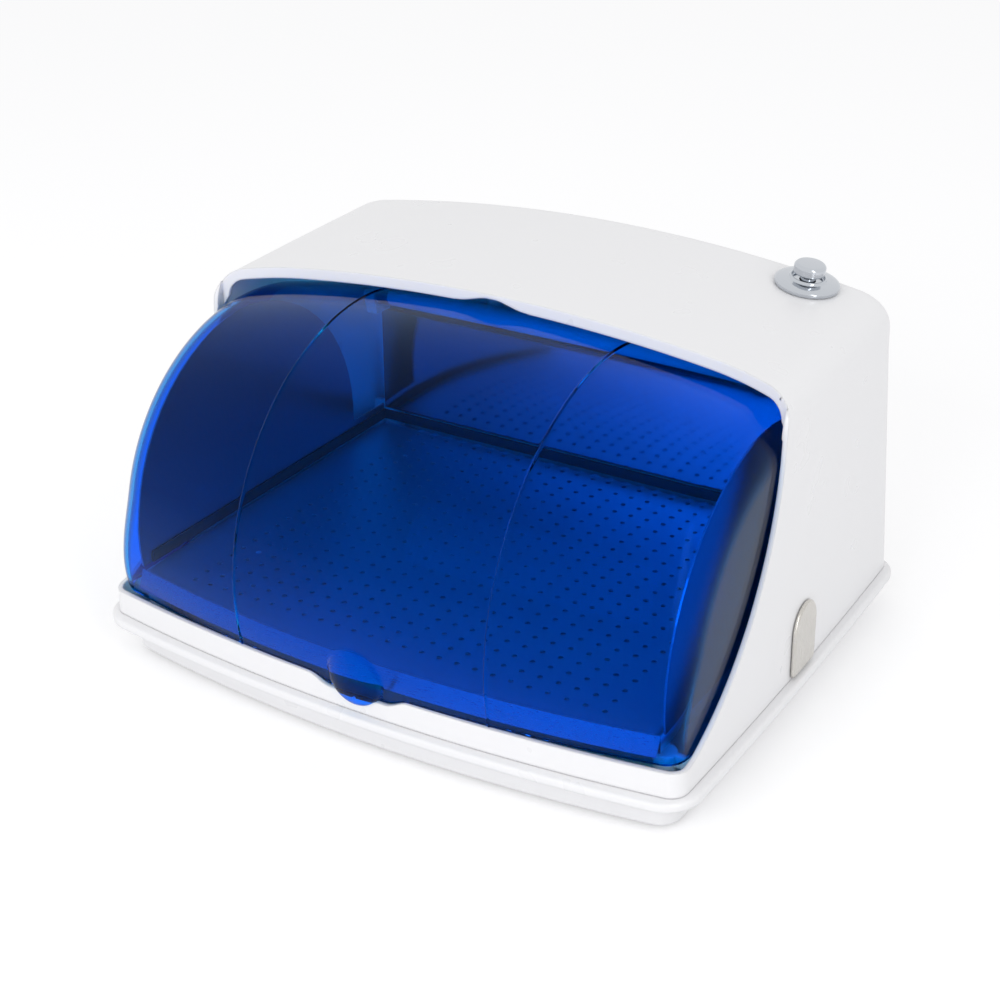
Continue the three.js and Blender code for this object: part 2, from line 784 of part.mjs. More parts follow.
// The door's full barrel round the pivot's axis, set in by a wall.
function barrel(thickness) {
  const sections = Array.from({ length: doorFacets }, (_, i) => {
    const angle = (360 * i) / doorFacets;
    const along = [Math.cos(radians(angle)), Math.sin(radians(angle))];
    return doorSection(thickness, filletAt(angle)).points.map(({ x, y: radius }) =>
      at(x, pivotY + radius * along[0], pivotZ + radius * along[1]),
    );
  });
  return loft(sections[0].map((_, i) => sections.map((section) => section[i])));
}

// Side view outline of the stretch of the barrel that the door keeps, with the hubs that it turns on.
function doorShape() {
  const far = 2 * doorRadius;
  const topAngle = radians(doorTopAngle);
  const reach = far / Math.sin(topAngle);
  const bottom = sillHeight + fitGap;
  const shape = new THREE.Shape();
  shape.moveTo(pivotY - far, bottom);
  shape.lineTo(pivotY - doorSkirtBack, bottom);
  shape.lineTo(pivotY - hubRadius / 2, pivotZ - hubRadius);
  shape.absarc(pivotY, pivotZ, hubRadius, -Math.PI / 2, 0, false);
  shape.lineTo(pivotY + reach * Math.cos(topAngle), pivotZ + far);
  shape.lineTo(pivotY - far, pivotZ + far);
  return shape;
}

// A thin raised bead that runs round the door's outside at one place across it.
function doorBead(x) {
  const crownDrop = doorCrown - Math.sqrt(doorCrown * doorCrown - x * x);
  const surface = doorRadius - crownDrop;
  const section = [
    new THREE.Vector2(surface - doorWall / 2, x - doorRibWidth / 2),
    new THREE.Vector2(surface + doorRibHeight, x - doorRibWidth / 4),
    new THREE.Vector2(surface + doorRibHeight, x + doorRibWidth / 4),
    new THREE.Vector2(surface - doorWall / 2, x + doorRibWidth / 2),
    new THREE.Vector2(surface - doorWall / 2, x - doorRibWidth / 2),
  ];
  const geometry = new THREE.LatheGeometry(section, doorFacets);
  return solid(geometry.rotateZ(-Math.PI / 2).translate(0, pivotY, pivotZ));
}

// The finger grip: a drop-shaped swelling at the foot of the door, whose tip hangs in front of the sill.
function fingerGrip(hollow) {
  const below = pivotZ - gripCentre;
  const surface = pivotY - Math.sqrt(doorRadius * doorRadius - below * below);
  const form = solid(
    new THREE.SphereGeometry(1, 20, 12)
      .scale(gripWidth / 2, gripDepth / 2, gripHeight / 2)
      .translate(0, surface + gripDepth / 2 - gripProud, gripCentre),
  );
  const sillFace = frontEdge - frontBow + housingInset;
  const behind = block(
    at(-gripWidth, sillFace - 2 * fitGap, 0),
    at(gripWidth, pivotY, sillHeight + fitGap),
  );
  return form.subtract(hollow).subtract(behind);
}

function buildDoor() {
  const hollow = barrel(doorWall);
  const kept = alongX(doorShape(), -doorHalfWidth - overrun, doorHalfWidth + overrun);
  let body = barrel(0).subtract(hollow).intersect(kept);
  for (const x of [-doorRibPlace, doorRibPlace]) body = body.add(doorBead(x).intersect(kept));
  body = body.add(fingerGrip(hollow));
  const bore = shoulderScrewRadius + fitGap + bushWall + fitGap;
  const reach = doorHalfWidth + overrun;
  body = body.subtract(bar(bore, at(-reach, pivotY, pivotZ), at(reach, pivotY, pivotZ), 24));
  place("door_shell", body, finishes.tintedAcrylic);
}

function buildPivots() {
  const inner = doorHalfWidth - doorWall;
  for (const [sideName, side] of Object.entries(sides)) {
    const on = (x) => at(side * x, pivotY, pivotZ);
    const bore = bar(shoulderScrewRadius + fitGap, on(inner - overrun), on(doorHalfWidth + overrun), 24);
    const outer = shoulderScrewRadius + fitGap + bushWall;
    const bush = bar(outer, on(inner), on(doorHalfWidth), 24).subtract(bore);
    place(`pivot_bush_${sideName}`, bush, finishes.nylon);
    const shoulderEnd = doorHalfWidth + fitGap - fitGap / 3;
    const headEnd = inner - fitGap;
    const head = bar(screwHeadRadius, on(headEnd - screwHeadHeight), on(headEnd), 24);
    const shoulder = bar(shoulderScrewRadius, on(headEnd - fitGap), on(shoulderEnd), 24);
    const thread = bar(screwThreadRadius, on(headEnd), on(doorHalfWidth + fitGap + screwThreadLength));
    const slotHalf = screwHeadRadius / 8;
    const slotFrom = headEnd - screwHeadHeight - overrun;
    const slotTo = headEnd - screwHeadHeight / 2;
    const slot = block(
      at(Math.min(side * slotFrom, side * slotTo), pivotY - screwHeadRadius, pivotZ - slotHalf),
      at(Math.max(side * slotFrom, side * slotTo), pivotY + screwHeadRadius, pivotZ + slotHalf),
    );
    place(`pivot_screw_${sideName}`, head.add(shoulder).add(thread).subtract(slot), finishes.zincSteel);
  }
}

// Plan outline of the chamber floor, bowed at the front as the door is, set in by a sheet's thickness or none.
function floorShape(inset) {
  const half = floorHalfWidth - inset;
  const frontSide = floorFrontSide + inset;
  const shape = new THREE.Shape();
  shape.moveTo(half, frontSide);
  shape.lineTo(half, floorRear - inset);
  shape.lineTo(-half, floorRear - inset);
  shape.lineTo(-half, frontSide);
  shape.quadraticCurveTo(0, 2 * (floorFrontMiddle + inset) - frontSide, half, frontSide);
  return shape;
}

// The perforated steel floor: a sheet with its edges folded down and a square field of holes.
function buildFloor() {
  const top = alongZ(floorShape(0), floorHeight - floorSkirt, floorHeight, 12);
  const under = alongZ(floorShape(sheet), floorHeight - floorSkirt - overrun, floorHeight - sheet, 12);
  let body = top.subtract(under);
  const columns = Math.floor(floorHoleField / floorHolePitch);
  const rowsFront = Math.floor((-floorFrontSide - floorHolePitch / 2) / floorHolePitch);
  const rowsRear = Math.floor((floorRear - floorHolePitch / 2) / floorHolePitch);
  const holes = [];
  for (let column = -columns; column <= columns; column++) {
    for (let row = -rowsFront; row <= rowsRear; row++) {
      const [x, y] = [column * floorHolePitch, row * floorHolePitch];
      const from = at(x, y, floorHeight - sheet - overrun);
      holes.push(bar(floorHoleRadius, from, at(x, y, floorHeight + overrun), 4));
    }
  }
  for (const hole of holes) body = body.subtract(hole);
  place("chamber_floor", body, finishes.brightSteel);
}

// The steel cheeks of the chamber: each stays inside the door's sweep by a gap, with a low heel that reaches
// back.
function buildLiners() {
  const low = floorHeight + fitGap;
  const heelTop = low + linerHeel;
  const heelRear = floorRear + rearHem / 4;
  const { centreX, centreRadius, fillet } = doorSection(doorWall, doorFillet);
  const doorWithin = centreRadius + Math.sqrt(fillet ** 2 - (linerPlace + sheet - centreX) ** 2);
  const linerRadius = doorWithin - linerGap;
  const startAngle = 180 + THREE.MathUtils.radToDeg(Math.asin((pivotZ - low) / linerRadius));
  const endAngle = THREE.MathUtils.radToDeg(Math.asin((heelTop - pivotZ) / linerRadius));
  const arc = arcPoints(pivotY, pivotZ, linerRadius, endAngle, startAngle, 30);
  const outline = [...arc, new THREE.Vector2(heelRear, low), new THREE.Vector2(heelRear, heelTop)];
  const shape = new THREE.Shape(outline);
  for (const [sideName, side] of Object.entries(sides)) {
    const [near, far] = [side * linerPlace, side * (linerPlace + sheet)];
    const body = alongX(shape, Math.min(near, far), Math.max(near, far));
    place(`chamber_cheek_${sideName}`, body, finishes.brightSteel);
  }
}

// The bright rear panel, with hems folded back along its top and foot.
function buildRearPanel() {
  const front = floorRear + rearHem / 4 + fitGap;
  const low = floorHeight + rearPanelGap;
  const high = low + rearPanelHeight;
  const shape = new THREE.Shape();
  const hem = floorRear + rearHem - fitGap;
  shape.moveTo(front, low);
  shape.lineTo(hem, low);
  shape.lineTo(hem, low + sheet);
  shape.lineTo(front + sheet, low + sheet);
  shape.lineTo(front + sheet, high - sheet);
  shape.lineTo(hem, high - sheet);
  shape.lineTo(hem, high);
  shape.lineTo(front, high);
  place("rear_panel", alongX(shape, -floorHalfWidth, floorHalfWidth), finishes.brightSteel);
}

function reflectorBack() {
  return lampZ + reflectorRadius + sheet + fitGap;
}

// A post that hangs from the roof to carry the lamp's reflector.
function reflectorPost(x) {
  return bar(reflectorPostRadius, at(x, lampY, reflectorBack()), at(x, lampY, roofHeight));
}

// The lamp's trough reflector, open towards the door's pivot, with an end plate for each lamp socket.
function buildReflector() {
  const facing = THREE.MathUtils.radToDeg(Math.atan2(lampZ - pivotZ, lampY - pivotY));
  const [from, to] = [facing - reflectorSpreadAngle / 2, facing + reflectorSpreadAngle / 2];
  const outer = reflectorRadius + sheet;
  const inside = arcPoints(lampY, lampZ, reflectorRadius, from, to, 20);
  const outside = arcPoints(lampY, lampZ, outer, to, from, 20);
  const half = lampLength / 2 + socketThickness + fitGap + sheet;
  let body = alongX(new THREE.Shape([...inside, ...outside]), -half, half);
  const endPlate = new THREE.Shape(arcPoints(lampY, lampZ, outer - sheet / 2, from, to, 20));
  body = body.add(alongX(endPlate, -half, -half + sheet)).add(alongX(endPlate, half - sheet, half));
  const flat = block(
    at(-reflectorPostPlace - reflectorPostRadius, lampY - reflectorPostRadius, reflectorBack() - 2 * sheet),
    at(reflectorPostPlace + reflectorPostRadius, lampY + reflectorPostRadius, reflectorBack() - fitGap),
  );
  const hollow = bar(reflectorRadius, at(-half, lampY, lampZ), at(half, lampY, lampZ), 36);
  body = body.add(flat.subtract(hollow));
  for (const side of Object.values(sides)) {
    const x = side * reflectorPostPlace;
    body = body.subtract(bar(screwRadius + fitGap, at(x, lampY, lampZ), at(x, lampY, roofHeight)));
  }
  place("lamp_reflector", body, finishes.brightSteel);
  for (const [sideName, side] of Object.entries(sides)) {
    const x = side * reflectorPostPlace;
    const seat = lampZ + Math.sqrt(reflectorRadius ** 2 - screwHead ** 2) - 2 * fitGap;
    const head = bar(screwHead, at(x, lampY, seat - screwHeadThickness), at(x, lampY, seat));
    const end = reflectorBack() + reflectorScrewLength - fitGap;
    const shank = bar(screwRadius, at(x, lampY, seat - sheet), at(x, lampY, end));
    place(`reflector_screw_${sideName}`, head.add(shank), finishes.zincSteel);
  }
}

function buildLamp() {
  const lamp = new THREE.Group();
  lamp.position.set(0, lampY, lampZ);
  cabinet.add(lamp);
  const half = lampLength / 2;
  const glassEnd = half - capLength - fitGap;
  place("lamp_tube", bar(tubeRadius, at(-glassEnd, 0, 0), at(glassEnd, 0, 0), 24), finishes.lampGlass, lamp);
  for (const [sideName, side] of Object.entries(sides)) {
    let cap = bar(capRadius, at(side * (half - capLength), 0, 0), at(side * half, 0, 0), 24);
    let socket = socketBody(side * (half + fitGap), side * (half + fitGap + socketThickness - fitGap));
    for (const y of [-pinSpacing / 2, pinSpacing / 2]) {
      const pinEnd = at(side * (half + pinLength), y, 0);
      cap = cap.add(bar(pinRadius, at(side * (half - overrun), y, 0), pinEnd, 10));
    }
    const slotHalf = pinRadius + fitGap;
    const slotEnd = half + pinLength + fitGap;
    const slotFrom = Math.min(side * half, side * slotEnd);
    const slotTo = Math.max(side * half, side * slotEnd);
    const reach = pinSpacing / 2 + slotHalf;
    socket = socket.subtract(block(at(slotFrom, -reach, -slotHalf), at(slotTo, reach, slotHalf)));
    place(`lamp_cap_${sideName}`, cap, finishes.aluminium, lamp);
    place(`lamp_socket_${sideName}`, socket, finishes.nylon, lamp);
  }
}

// A lamp socket's body, with its round shoulders towards the reflector.
function socketBody(from, to) {
  const halfWidth = socketWidth / 2;
  const shape = new THREE.Shape();
  shape.moveTo(-halfWidth, 0);
  shape.lineTo(-halfWidth * socketTaperShare, halfWidth - socketHeight);
  shape.lineTo(halfWidth * socketTaperShare, halfWidth - socketHeight);
  shape.lineTo(halfWidth, 0);
  shape.absarc(0, 0, halfWidth, 0, Math.PI, false);
  return alongX(shape, Math.min(from, to), Math.max(from, to), 10);
}

// Where the button stands on the roof, and the turn that sets it square to the roof there.
function buttonFrame() {
  const slopeX = -buttonX / Math.sqrt(roofCrown * roofCrown - buttonX * buttonX);
  const normal = new THREE.Vector3(-slopeX, -roofFallShare, 1).normalize();
  const turn = new THREE.Quaternion().setFromUnitVectors(up, normal);
  return { place: at(buttonX, buttonY, roofAt(buttonX, buttonY)), turn, normal };
}

// A round hole square to the roof under the button, from one depth to another.
function buttonBore(radius, from, to) {
  const { place: seat, turn } = buttonFrame();
  const geometry = new THREE.CylinderGeometry(radius, radius, to - from, 24);
  geometry.rotateX(Math.PI / 2).translate(0, 0, (from + to) / 2).applyQuaternion(turn);
  return solid(geometry.translate(seat.x, seat.y, seat.z));
}

function buildButton() {
  const { place: seat, turn } = buttonFrame();
  const button = new THREE.Group();
  button.position.copy(seat);
  button.quaternion.copy(turn);
  cabinet.add(button);
  const bore = stemRadius + fitGap;
  const dish = collarRadius - collarWall;
  const bezelTop = bezelEdge + bezelCrown;
  const bezel = turned([
    [bore, fitGap],
    [bezelRadius - fitGap, fitGap],
    [bezelRadius, bezelEdge / 3],
    [bezelRadius, (2 * bezelEdge) / 3],
    [bezelRadius - bezelEdge / 6, bezelEdge * bezelLipShare],
    [bezelRadius - bezelEdge / 2, bezelEdge],
    [(bezelRadius + collarRadius) / 2, bezelEdge + bezelCrown / 2],
    [collarRadius + collarWall / 3, bezelTop],
    [collarRadius, bezelTop + collarHeight * collarShoulderShare],
    [collarRadius - collarWall / 2, bezelTop + collarHeight],
    [dish, bezelTop + collarHeight * collarShoulderShare],
    [dish, bezelEdge],
    [bore, bezelEdge],
    [bore, fitGap],
  ]);
  place("button_bezel", bezel, finishes.chrome, button);
  const capTop = capBottom + capHeight;
  const cap = turned([
    [0, -stemLength],
    [stemRadius, -stemLength],
    [stemRadius, capBottom],
    [capBrim - capRound / 3, capBottom],
    [capBrim, capBottom + capRound / 3],
    [capBrim, capTop - capRound],
    [capBrim - capRound * roundShare, capTop - capRound * roundShare],
    [capBrim - capRound, capTop],
    [0, capTop],
  ]);
  place("button_cap", cap, finishes.chrome, button);
  buildSwitch(button, bore);
}

// The switch under the roof: its threaded neck comes up through the roof, and a nut clamps it there.
function buildSwitch(button, bore) {
  const neckEnd = -switchThreadLength;
  const bodyEnd = neckEnd - switchBodyLength;
  const wellEnd = -stemLength - capBottom + bezelEdge;
  let body = turned([
    [bore, 0],
    [bore, wellEnd],
    [0, wellEnd],
    [0, bodyEnd],
    [switchBodyRadius, bodyEnd],
    [switchBodyRadius, neckEnd],
    [switchThread, neckEnd],
    [switchThread, 0],
    [bore, 0],
  ], 24);
  for (const y of [-switchBodyRadius / 2, switchBodyRadius / 2]) {
    const low = at(-tagWidth / 2, y - tagThickness / 2, bodyEnd - tagLength);
    body = body.add(block(low, at(tagWidth / 2, y + tagThickness / 2, bodyEnd + overrun)));
  }
  place("switch_body", body, finishes.blackPlastic, button);
  const nutTop = -housingWall - 2 * fitGap;
  const across = nutAcross / 2 / Math.cos(Math.PI / 6);
  const nutBottom = nutTop - nutThickness;
  const hexagon = bar(across, at(0, 0, nutBottom), at(0, 0, nutTop), 6);
  const hole = bar(switchThread + fitGap, at(0, 0, nutBottom - overrun), at(0, 0, nutTop + overrun), 24);
  place("switch_nut", hexagon.subtract(hole), finishes.zincSteel, button);
}

// The bright arched plate on the right cheek, standing on the flange and leaning with the wall.
function buildClip() {
  const radius = clipWidth / 2;
  const straight = clipHeight - radius;
  const shape = new THREE.Shape();
  shape.moveTo(-radius, 0);
  shape.lineTo(radius, 0);
  shape.lineTo(radius, straight);
  shape.absarc(0, straight, radius, 0, Math.PI, false);
  const geometry = new THREE.ExtrudeGeometry(shape, {
    depth: clipThickness - clipBevel,
    bevelEnabled: true,
    bevelThickness: clipBevel,
    bevelSize: clipBevel,
    bevelOffset: -clipBevel,
    bevelSegments: 2,
    curveSegments: 10,
  });
  geometry.applyMatrix4(new THREE.Matrix4().makeBasis(back, up, right));
  const plate = solid(geometry);
  const flat = block(at(0, -clipWidth, -clipHeight), at(clipThickness + overrun, clipWidth, 2 * clipHeight));
  const clip = new THREE.Group();
  const share = (clipY - middleY) / (flangeDepth / 2);
  const wallX = halfWidth + sideBow * (1 - share * share) - housingInset;
  clip.position.set(wallX + fitGap, clipY, seam + clipBevel);
  clip.rotation.y = -radians(sideDraft);
  cabinet.add(clip);
  place("side_clip", plate.intersect(flat), finishes.chrome, clip);
}

function interlockTop() {
  return sillHeight - interlockDrop;
}

function interlockX() {
  return doorHalfWidth - doorWall * interlockWallShare;
}

// The seat on the tray that the interlock switch stands on, as two corners of a block.
function interlockSeat() {
  const top = interlockTop() - interlockHeight - fitGap;
  const half = interlockWidth / 2;
  return [
    at(interlockX() - half, interlockY - interlockLength / 2, trayFloor - overrun),
    at(halfWidth, interlockY + interlockLength / 2, top),
  ];
}

// The interlock: a small switch whose plunger is held down by the foot of the door while it is shut.
function buildInterlock() {
  const [x, top] = [interlockX(), interlockTop()];
  const half = interlockWidth / 2;
  const body = block(
    at(x - half, interlockY - interlockLength / 2, top - interlockHeight),
    at(x + half, interlockY + interlockLength / 2, top),
  );
  const well = at(x, interlockY, top - (2 * interlockHeight) / 3);
  const bore = bar(plungerRadius + fitGap, well, at(x, interlockY, top + overrun));
  place("interlock_switch", body.subtract(bore), finishes.blackPlastic);
  const plunger = bar(plungerRadius, at(x, interlockY, well.z + fitGap), at(x, interlockY, sillHeight));
  place("interlock_plunger", plunger, finishes.nylon);
}

// The ballast: a laminated core between the two feet of its case.
function buildBallast() {
  const low = trayFloor + fitGap;
  const half = ballastLength / 2;
  const shape = new THREE.Shape();
  const waist = ballastHeight / 6;
  shape.moveTo(-ballastWidth / 2, low);
  shape.lineTo(ballastWidth / 2, low);
  shape.lineTo(ballastWidth / 2, low + ballastHeight - waist);
  shape.lineTo(ballastWidth / 2 - waist, low + ballastHeight);
  shape.lineTo(waist - ballastWidth / 2, low + ballastHeight);
  shape.lineTo(-ballastWidth / 2, low + ballastHeight - waist);
  let body = alongX(shape, -half, half);
  for (const end of [-1, 1]) {
    const edges = [end * (half - overrun), end * (half + ballastFoot)];
    const foot = block(
      at(Math.min(...edges), -ballastWidth / 4, low),
      at(Math.max(...edges), ballastWidth / 4, low + sheet),
    );
    const hole = at(end * (half + ballastFoot / 2), 0, low - overrun);
    body = body.add(foot).subtract(bar(screwRadius, hole, at(hole.x, 0, low + 2 * overrun), 10));
  }
  place("ballast", body, finishes.zincSteel).position.set(ballastX, ballastY, 0);
}

// The glow starter, lying in its twist holder.
function buildStarter() {
  const z = trayFloor + fitGap + starterBase;
  const group = new THREE.Group();
  group.position.set(starterX, starterY, z);
  cabinet.add(group);
  const can = turned([
    [0, 0],
    [starterRadius, 0],
    [starterRadius, starterLength - starterRadius / 4],
    [starterRadius * starterCrownShare, starterLength],
    [0, starterLength],
  ], 24);
  const canMesh = place("starter", can, finishes.aluminium, group);
  canMesh.rotation.x = -Math.PI / 2;
  const half = starterRadius * holderShare;
  const holder = block(
    at(-half, -starterBase / 2 - fitGap, -starterBase),
    at(half, -fitGap, half),
  );
  place("starter_holder", holder, finishes.nylon, group);
}

// The screw terminal block where the supply comes in.
function buildTerminals() {
  const low = trayFloor + fitGap;
  const length = blockPitch * blockWays;
  const shape = new THREE.Shape();
  shape.moveTo(-blockWidth / 2, low);
  shape.lineTo(blockWidth / 2, low);
  shape.lineTo(blockWidth / 2, low + blockHeight / 2);
  shape.lineTo(blockWidth / 4, low + blockHeight);
  shape.lineTo(-blockWidth / 4, low + blockHeight);
  shape.lineTo(-blockWidth / 2, low + blockHeight / 2);
  let body = alongX(shape, -length / 2, length / 2);
  for (let i = 0; i < blockWays; i++) {
    const x = blockPitch * (i - (blockWays - 1) / 2);
    const bottom = at(x, 0, low + blockHeight / 2);
    body = body.subtract(bar(blockPitch / 4, bottom, at(x, 0, low + blockHeight + overrun), 10));
  }
  place("terminal_block", body, finishes.nylon).position.set(blockX, blockY, 0);
}

// The bush in the tray's rear wall that the supply cord passes through.
function buildCordBush() {
  const wallY = rearEdge + rearBow * (1 - (cordX / halfWidth) ** 2) - trayInset;
  const inner = -trayWall - 2 * trayDraft - fitGap;
  const bush = turned([
    [cordBore, inner - cordFlangeThickness],
    [cordFlange, inner - cordFlangeThickness],
    [cordFlange, inner],
    [cordBody, inner],
    [cordBody, fitGap],
    [cordFlange, fitGap],
    [cordFlange - cordFlangeThickness / 3, fitGap + cordFlangeThickness],
    [cordBore, fitGap + cordFlangeThickness],
    [cordBore, inner - cordFlangeThickness],
  ], 24);
  const mesh = place("cord_bush", bush, finishes.blackPlastic);
  mesh.rotation.x = -Math.PI / 2;
  mesh.position.set(cordX, wallY, cordZ);
}

buildTray();
buildFeet();
buildHousing();
buildHousingScrews();
buildDoor();
buildPivots();
buildFloor();
buildLiners();
buildRearPanel();
buildReflector();
buildLamp();
buildButton();
buildClip();
buildInterlock();
buildBallast();
buildStarter();
buildTerminals();
buildCordBush();

export default cabinet;
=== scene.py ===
import json
import math

import bpy
import numpy as np
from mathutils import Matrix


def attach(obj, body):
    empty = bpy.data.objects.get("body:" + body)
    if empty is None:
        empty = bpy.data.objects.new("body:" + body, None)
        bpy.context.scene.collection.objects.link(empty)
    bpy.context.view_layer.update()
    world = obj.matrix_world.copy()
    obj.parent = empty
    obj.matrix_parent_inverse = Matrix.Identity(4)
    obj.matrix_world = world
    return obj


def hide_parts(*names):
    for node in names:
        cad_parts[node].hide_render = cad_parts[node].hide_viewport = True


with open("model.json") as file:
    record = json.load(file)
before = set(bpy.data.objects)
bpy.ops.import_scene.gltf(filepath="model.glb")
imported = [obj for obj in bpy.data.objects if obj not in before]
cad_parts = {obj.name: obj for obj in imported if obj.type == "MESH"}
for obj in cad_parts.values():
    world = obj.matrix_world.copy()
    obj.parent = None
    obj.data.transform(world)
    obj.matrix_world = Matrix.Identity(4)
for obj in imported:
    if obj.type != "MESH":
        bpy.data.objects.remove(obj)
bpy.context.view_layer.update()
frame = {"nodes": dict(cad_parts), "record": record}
scene = bpy.context.scene
scene.view_settings.view_transform = "Standard"

# Studio: a pale seamless floor under a soft overcast of white light. A tall strip on the right gives the
# chrome and the side plate their long highlights. A weak broad light in front fills the flange's shade.


def linear(hex_colour):
    """Linear red, green, blue and alpha of an sRGB hex string: c/12.92 below 0.04045, else
    ((c + 0.055)/1.055)^2.4."""
    values = np.array([int(hex_colour[i : i + 2], 16) for i in (1, 3, 5)]) / 255
    low = values / 12.92
    high = ((values + 0.055) / 1.055) ** 2.4
    return (*np.where(values <= 0.04045, low, high).tolist(), 1.0)


def node(tree, kind, links=(), **settings):
    """Adds a shader node. Settings name its properties or its input sockets, and links pair one of its
    input sockets with the output socket that feeds it."""
    made = tree.nodes.new(kind)
    for name, value in settings.items():
        if hasattr(made, name):
            setattr(made, name, value)
        else:
            made.inputs[name.replace("_", " ")].default_value = value
    for socket, source in links:
        tree.links.new(source, made.inputs[socket])
    return made


def blank_material(name):
    """An empty node material and its tree."""
    made = bpy.data.materials.new(name)
    made.use_nodes = True
    made.node_tree.nodes.clear()
    return made, made.node_tree


camera = bpy.data.cameras.new("camera")
camera.lens = 66.36
camera.sensor_width = 36
camera_object = bpy.data.objects.new("camera", camera)
camera_object.location = (0.467546, -0.781427, 0.542122)
camera_object.rotation_euler = (math.radians(90 - 26.757), 0, math.radians(31.030))
scene.collection.objects.link(camera_object)
scene.camera = camera_object


def background_strength(tree, base, lift):
    """A strength of base for the light on the object, with a lift added for what the camera sees, directly,
    in a mirror or through glass."""
    path = node(tree, "ShaderNodeLightPath")
    seen = path.outputs["Is Camera Ray"]
    for kind in ("Is Glossy Ray", "Is Transmission Ray"):
        either = node(tree, "ShaderNodeMath", [(0, seen), (1, path.outputs[kind])], operation="MAXIMUM")
        seen = either.outputs[0]
    strength = node(tree, "ShaderNodeMath", [(0, seen)], operation="MULTIPLY_ADD")
    strength.inputs[1].default_value = lift
    strength.inputs[2].default_value = base
    return strength.outputs[0]


floor_material, tree = blank_material("pale studio floor")
paper = node(tree, "ShaderNodeBsdfDiffuse", Color=linear("#E8E8E9"))
white = (1, 1, 1, 1)
glow = node(tree, "ShaderNodeEmission", [("Strength", background_strength(tree, 0.0, 0.25))], Color=white)
both = node(tree, "ShaderNodeAddShader", [(0, paper.outputs[0]), (1, glow.outputs[0])])
node(tree, "ShaderNodeOutputMaterial", [("Surface", both.outputs[0])])
floor_mesh = bpy.data.meshes.new("studio_floor")
floor_reach = 6.0
floor_corners = [(x * floor_reach, y * floor_reach, 0) for x, y in ((-1, -1), (1, -1), (1, 1), (-1, 1))]
floor_mesh.from_pydata(floor_corners, [], [(0, 1, 2, 3)])
floor_mesh.materials.append(floor_material)
floor = bpy.data.objects.new("studio_floor", floor_mesh)
floor.location.z = -0.0002
scene.collection.objects.link(floor)

world = bpy.data.worlds.new("overcast white")
world.use_nodes = True
scene.world = world
tree = world.node_tree
tree.nodes.clear()
sky = node(tree, "ShaderNodeBackground", [("Strength", background_strength(tree, 0.84, 0.16))], Color=white)
node(tree, "ShaderNodeOutputWorld", [("Surface", sky.outputs[0])])


def soft_light(name, place, target, width, height, power):
    """A rectangular area light at a place, turned towards a target."""
    lamp = bpy.data.lights.new(name, "AREA")
    lamp.shape = "RECTANGLE"
    lamp.size = width
    lamp.size_y = height
    lamp.energy = power
    holder = bpy.data.objects.new(name, lamp)
    holder.location = place
    aim = np.array(target) - np.array(place)
    yaw = math.atan2(aim[1], aim[0]) - math.pi / 2
    pitch = math.atan2(aim[2], math.hypot(aim[0], aim[1])) + math.pi / 2
    holder.rotation_euler = (pitch, 0, yaw)
    scene.collection.objects.link(holder)
    return holder


cabinet_middle = (0, 0, 0.1)
soft_light("right strip light", (1.5, -0.9, 0.9), cabinet_middle, width=0.35, height=1.6, power=7)
front = soft_light("front fill", (-0.1, -1.5, 0.75), cabinet_middle, width=1.2, height=0.8, power=9)
front.visible_glossy = False

# Base tray: a shallow tray moulded in white ABS, with an overhanging flange that is bowed on all four sides.
# A drafted wall stands under the flange, and an upstand inside it locates the housing. The floor has a row
# of vent slots, wells for four screws and recesses for four feet.
mm = 0.001
width = 360.0
depth = 284.7
front_bow = 15.2
rear_bow = 1.5
side_bow = 2.0
middle_y = (front_bow - rear_bow) / 2
front_line = middle_y - depth / 2
rear_line = middle_y + depth / 2
gap = 0.3
foot_drop = 2.0
tray_wall = 2.5
tray_inset = 12.4
tray_corner = 10.0
tray_edge = 1.6
flange_under = 20.3
flange_top = 25.5
flange_corner = 17.0
flange_round = 1.2
flange_crown = 1.5
flange_foot = 0.8
housing_inset = 5.3
housing_wall = 2.5
housing_corner = 8.0
upstand_height = 4.5
upstand_draft = 0.4
upstand_wall = 1.6
vent_ends = (43, 77)
vent_half = 2
screw_x = 157.0
screw_rows = (-111.0, 125.0)
foot_x = 135.0
foot_y = 95.0
well_radius = 4.0
well_top = 10.4
recess_radius = 8.3
recess_top = 3.5
tube_radius = 7.0
tube_foot = 3.0
tube_top = 25.8
post_x = 120
post_y = 75
post_radius = 5.0
post_foot = 3.5
post_top = 50.7
switch_seat = (166.7, 180.0, -98.0, -82.0)
switch_seat_top = 24.7
both_sides = (-1, 1)
screw_places = [(side * screw_x, y) for side in both_sides for y in screw_rows]
foot_places = [(side * foot_x, end * foot_y) for side in both_sides for end in both_sides]


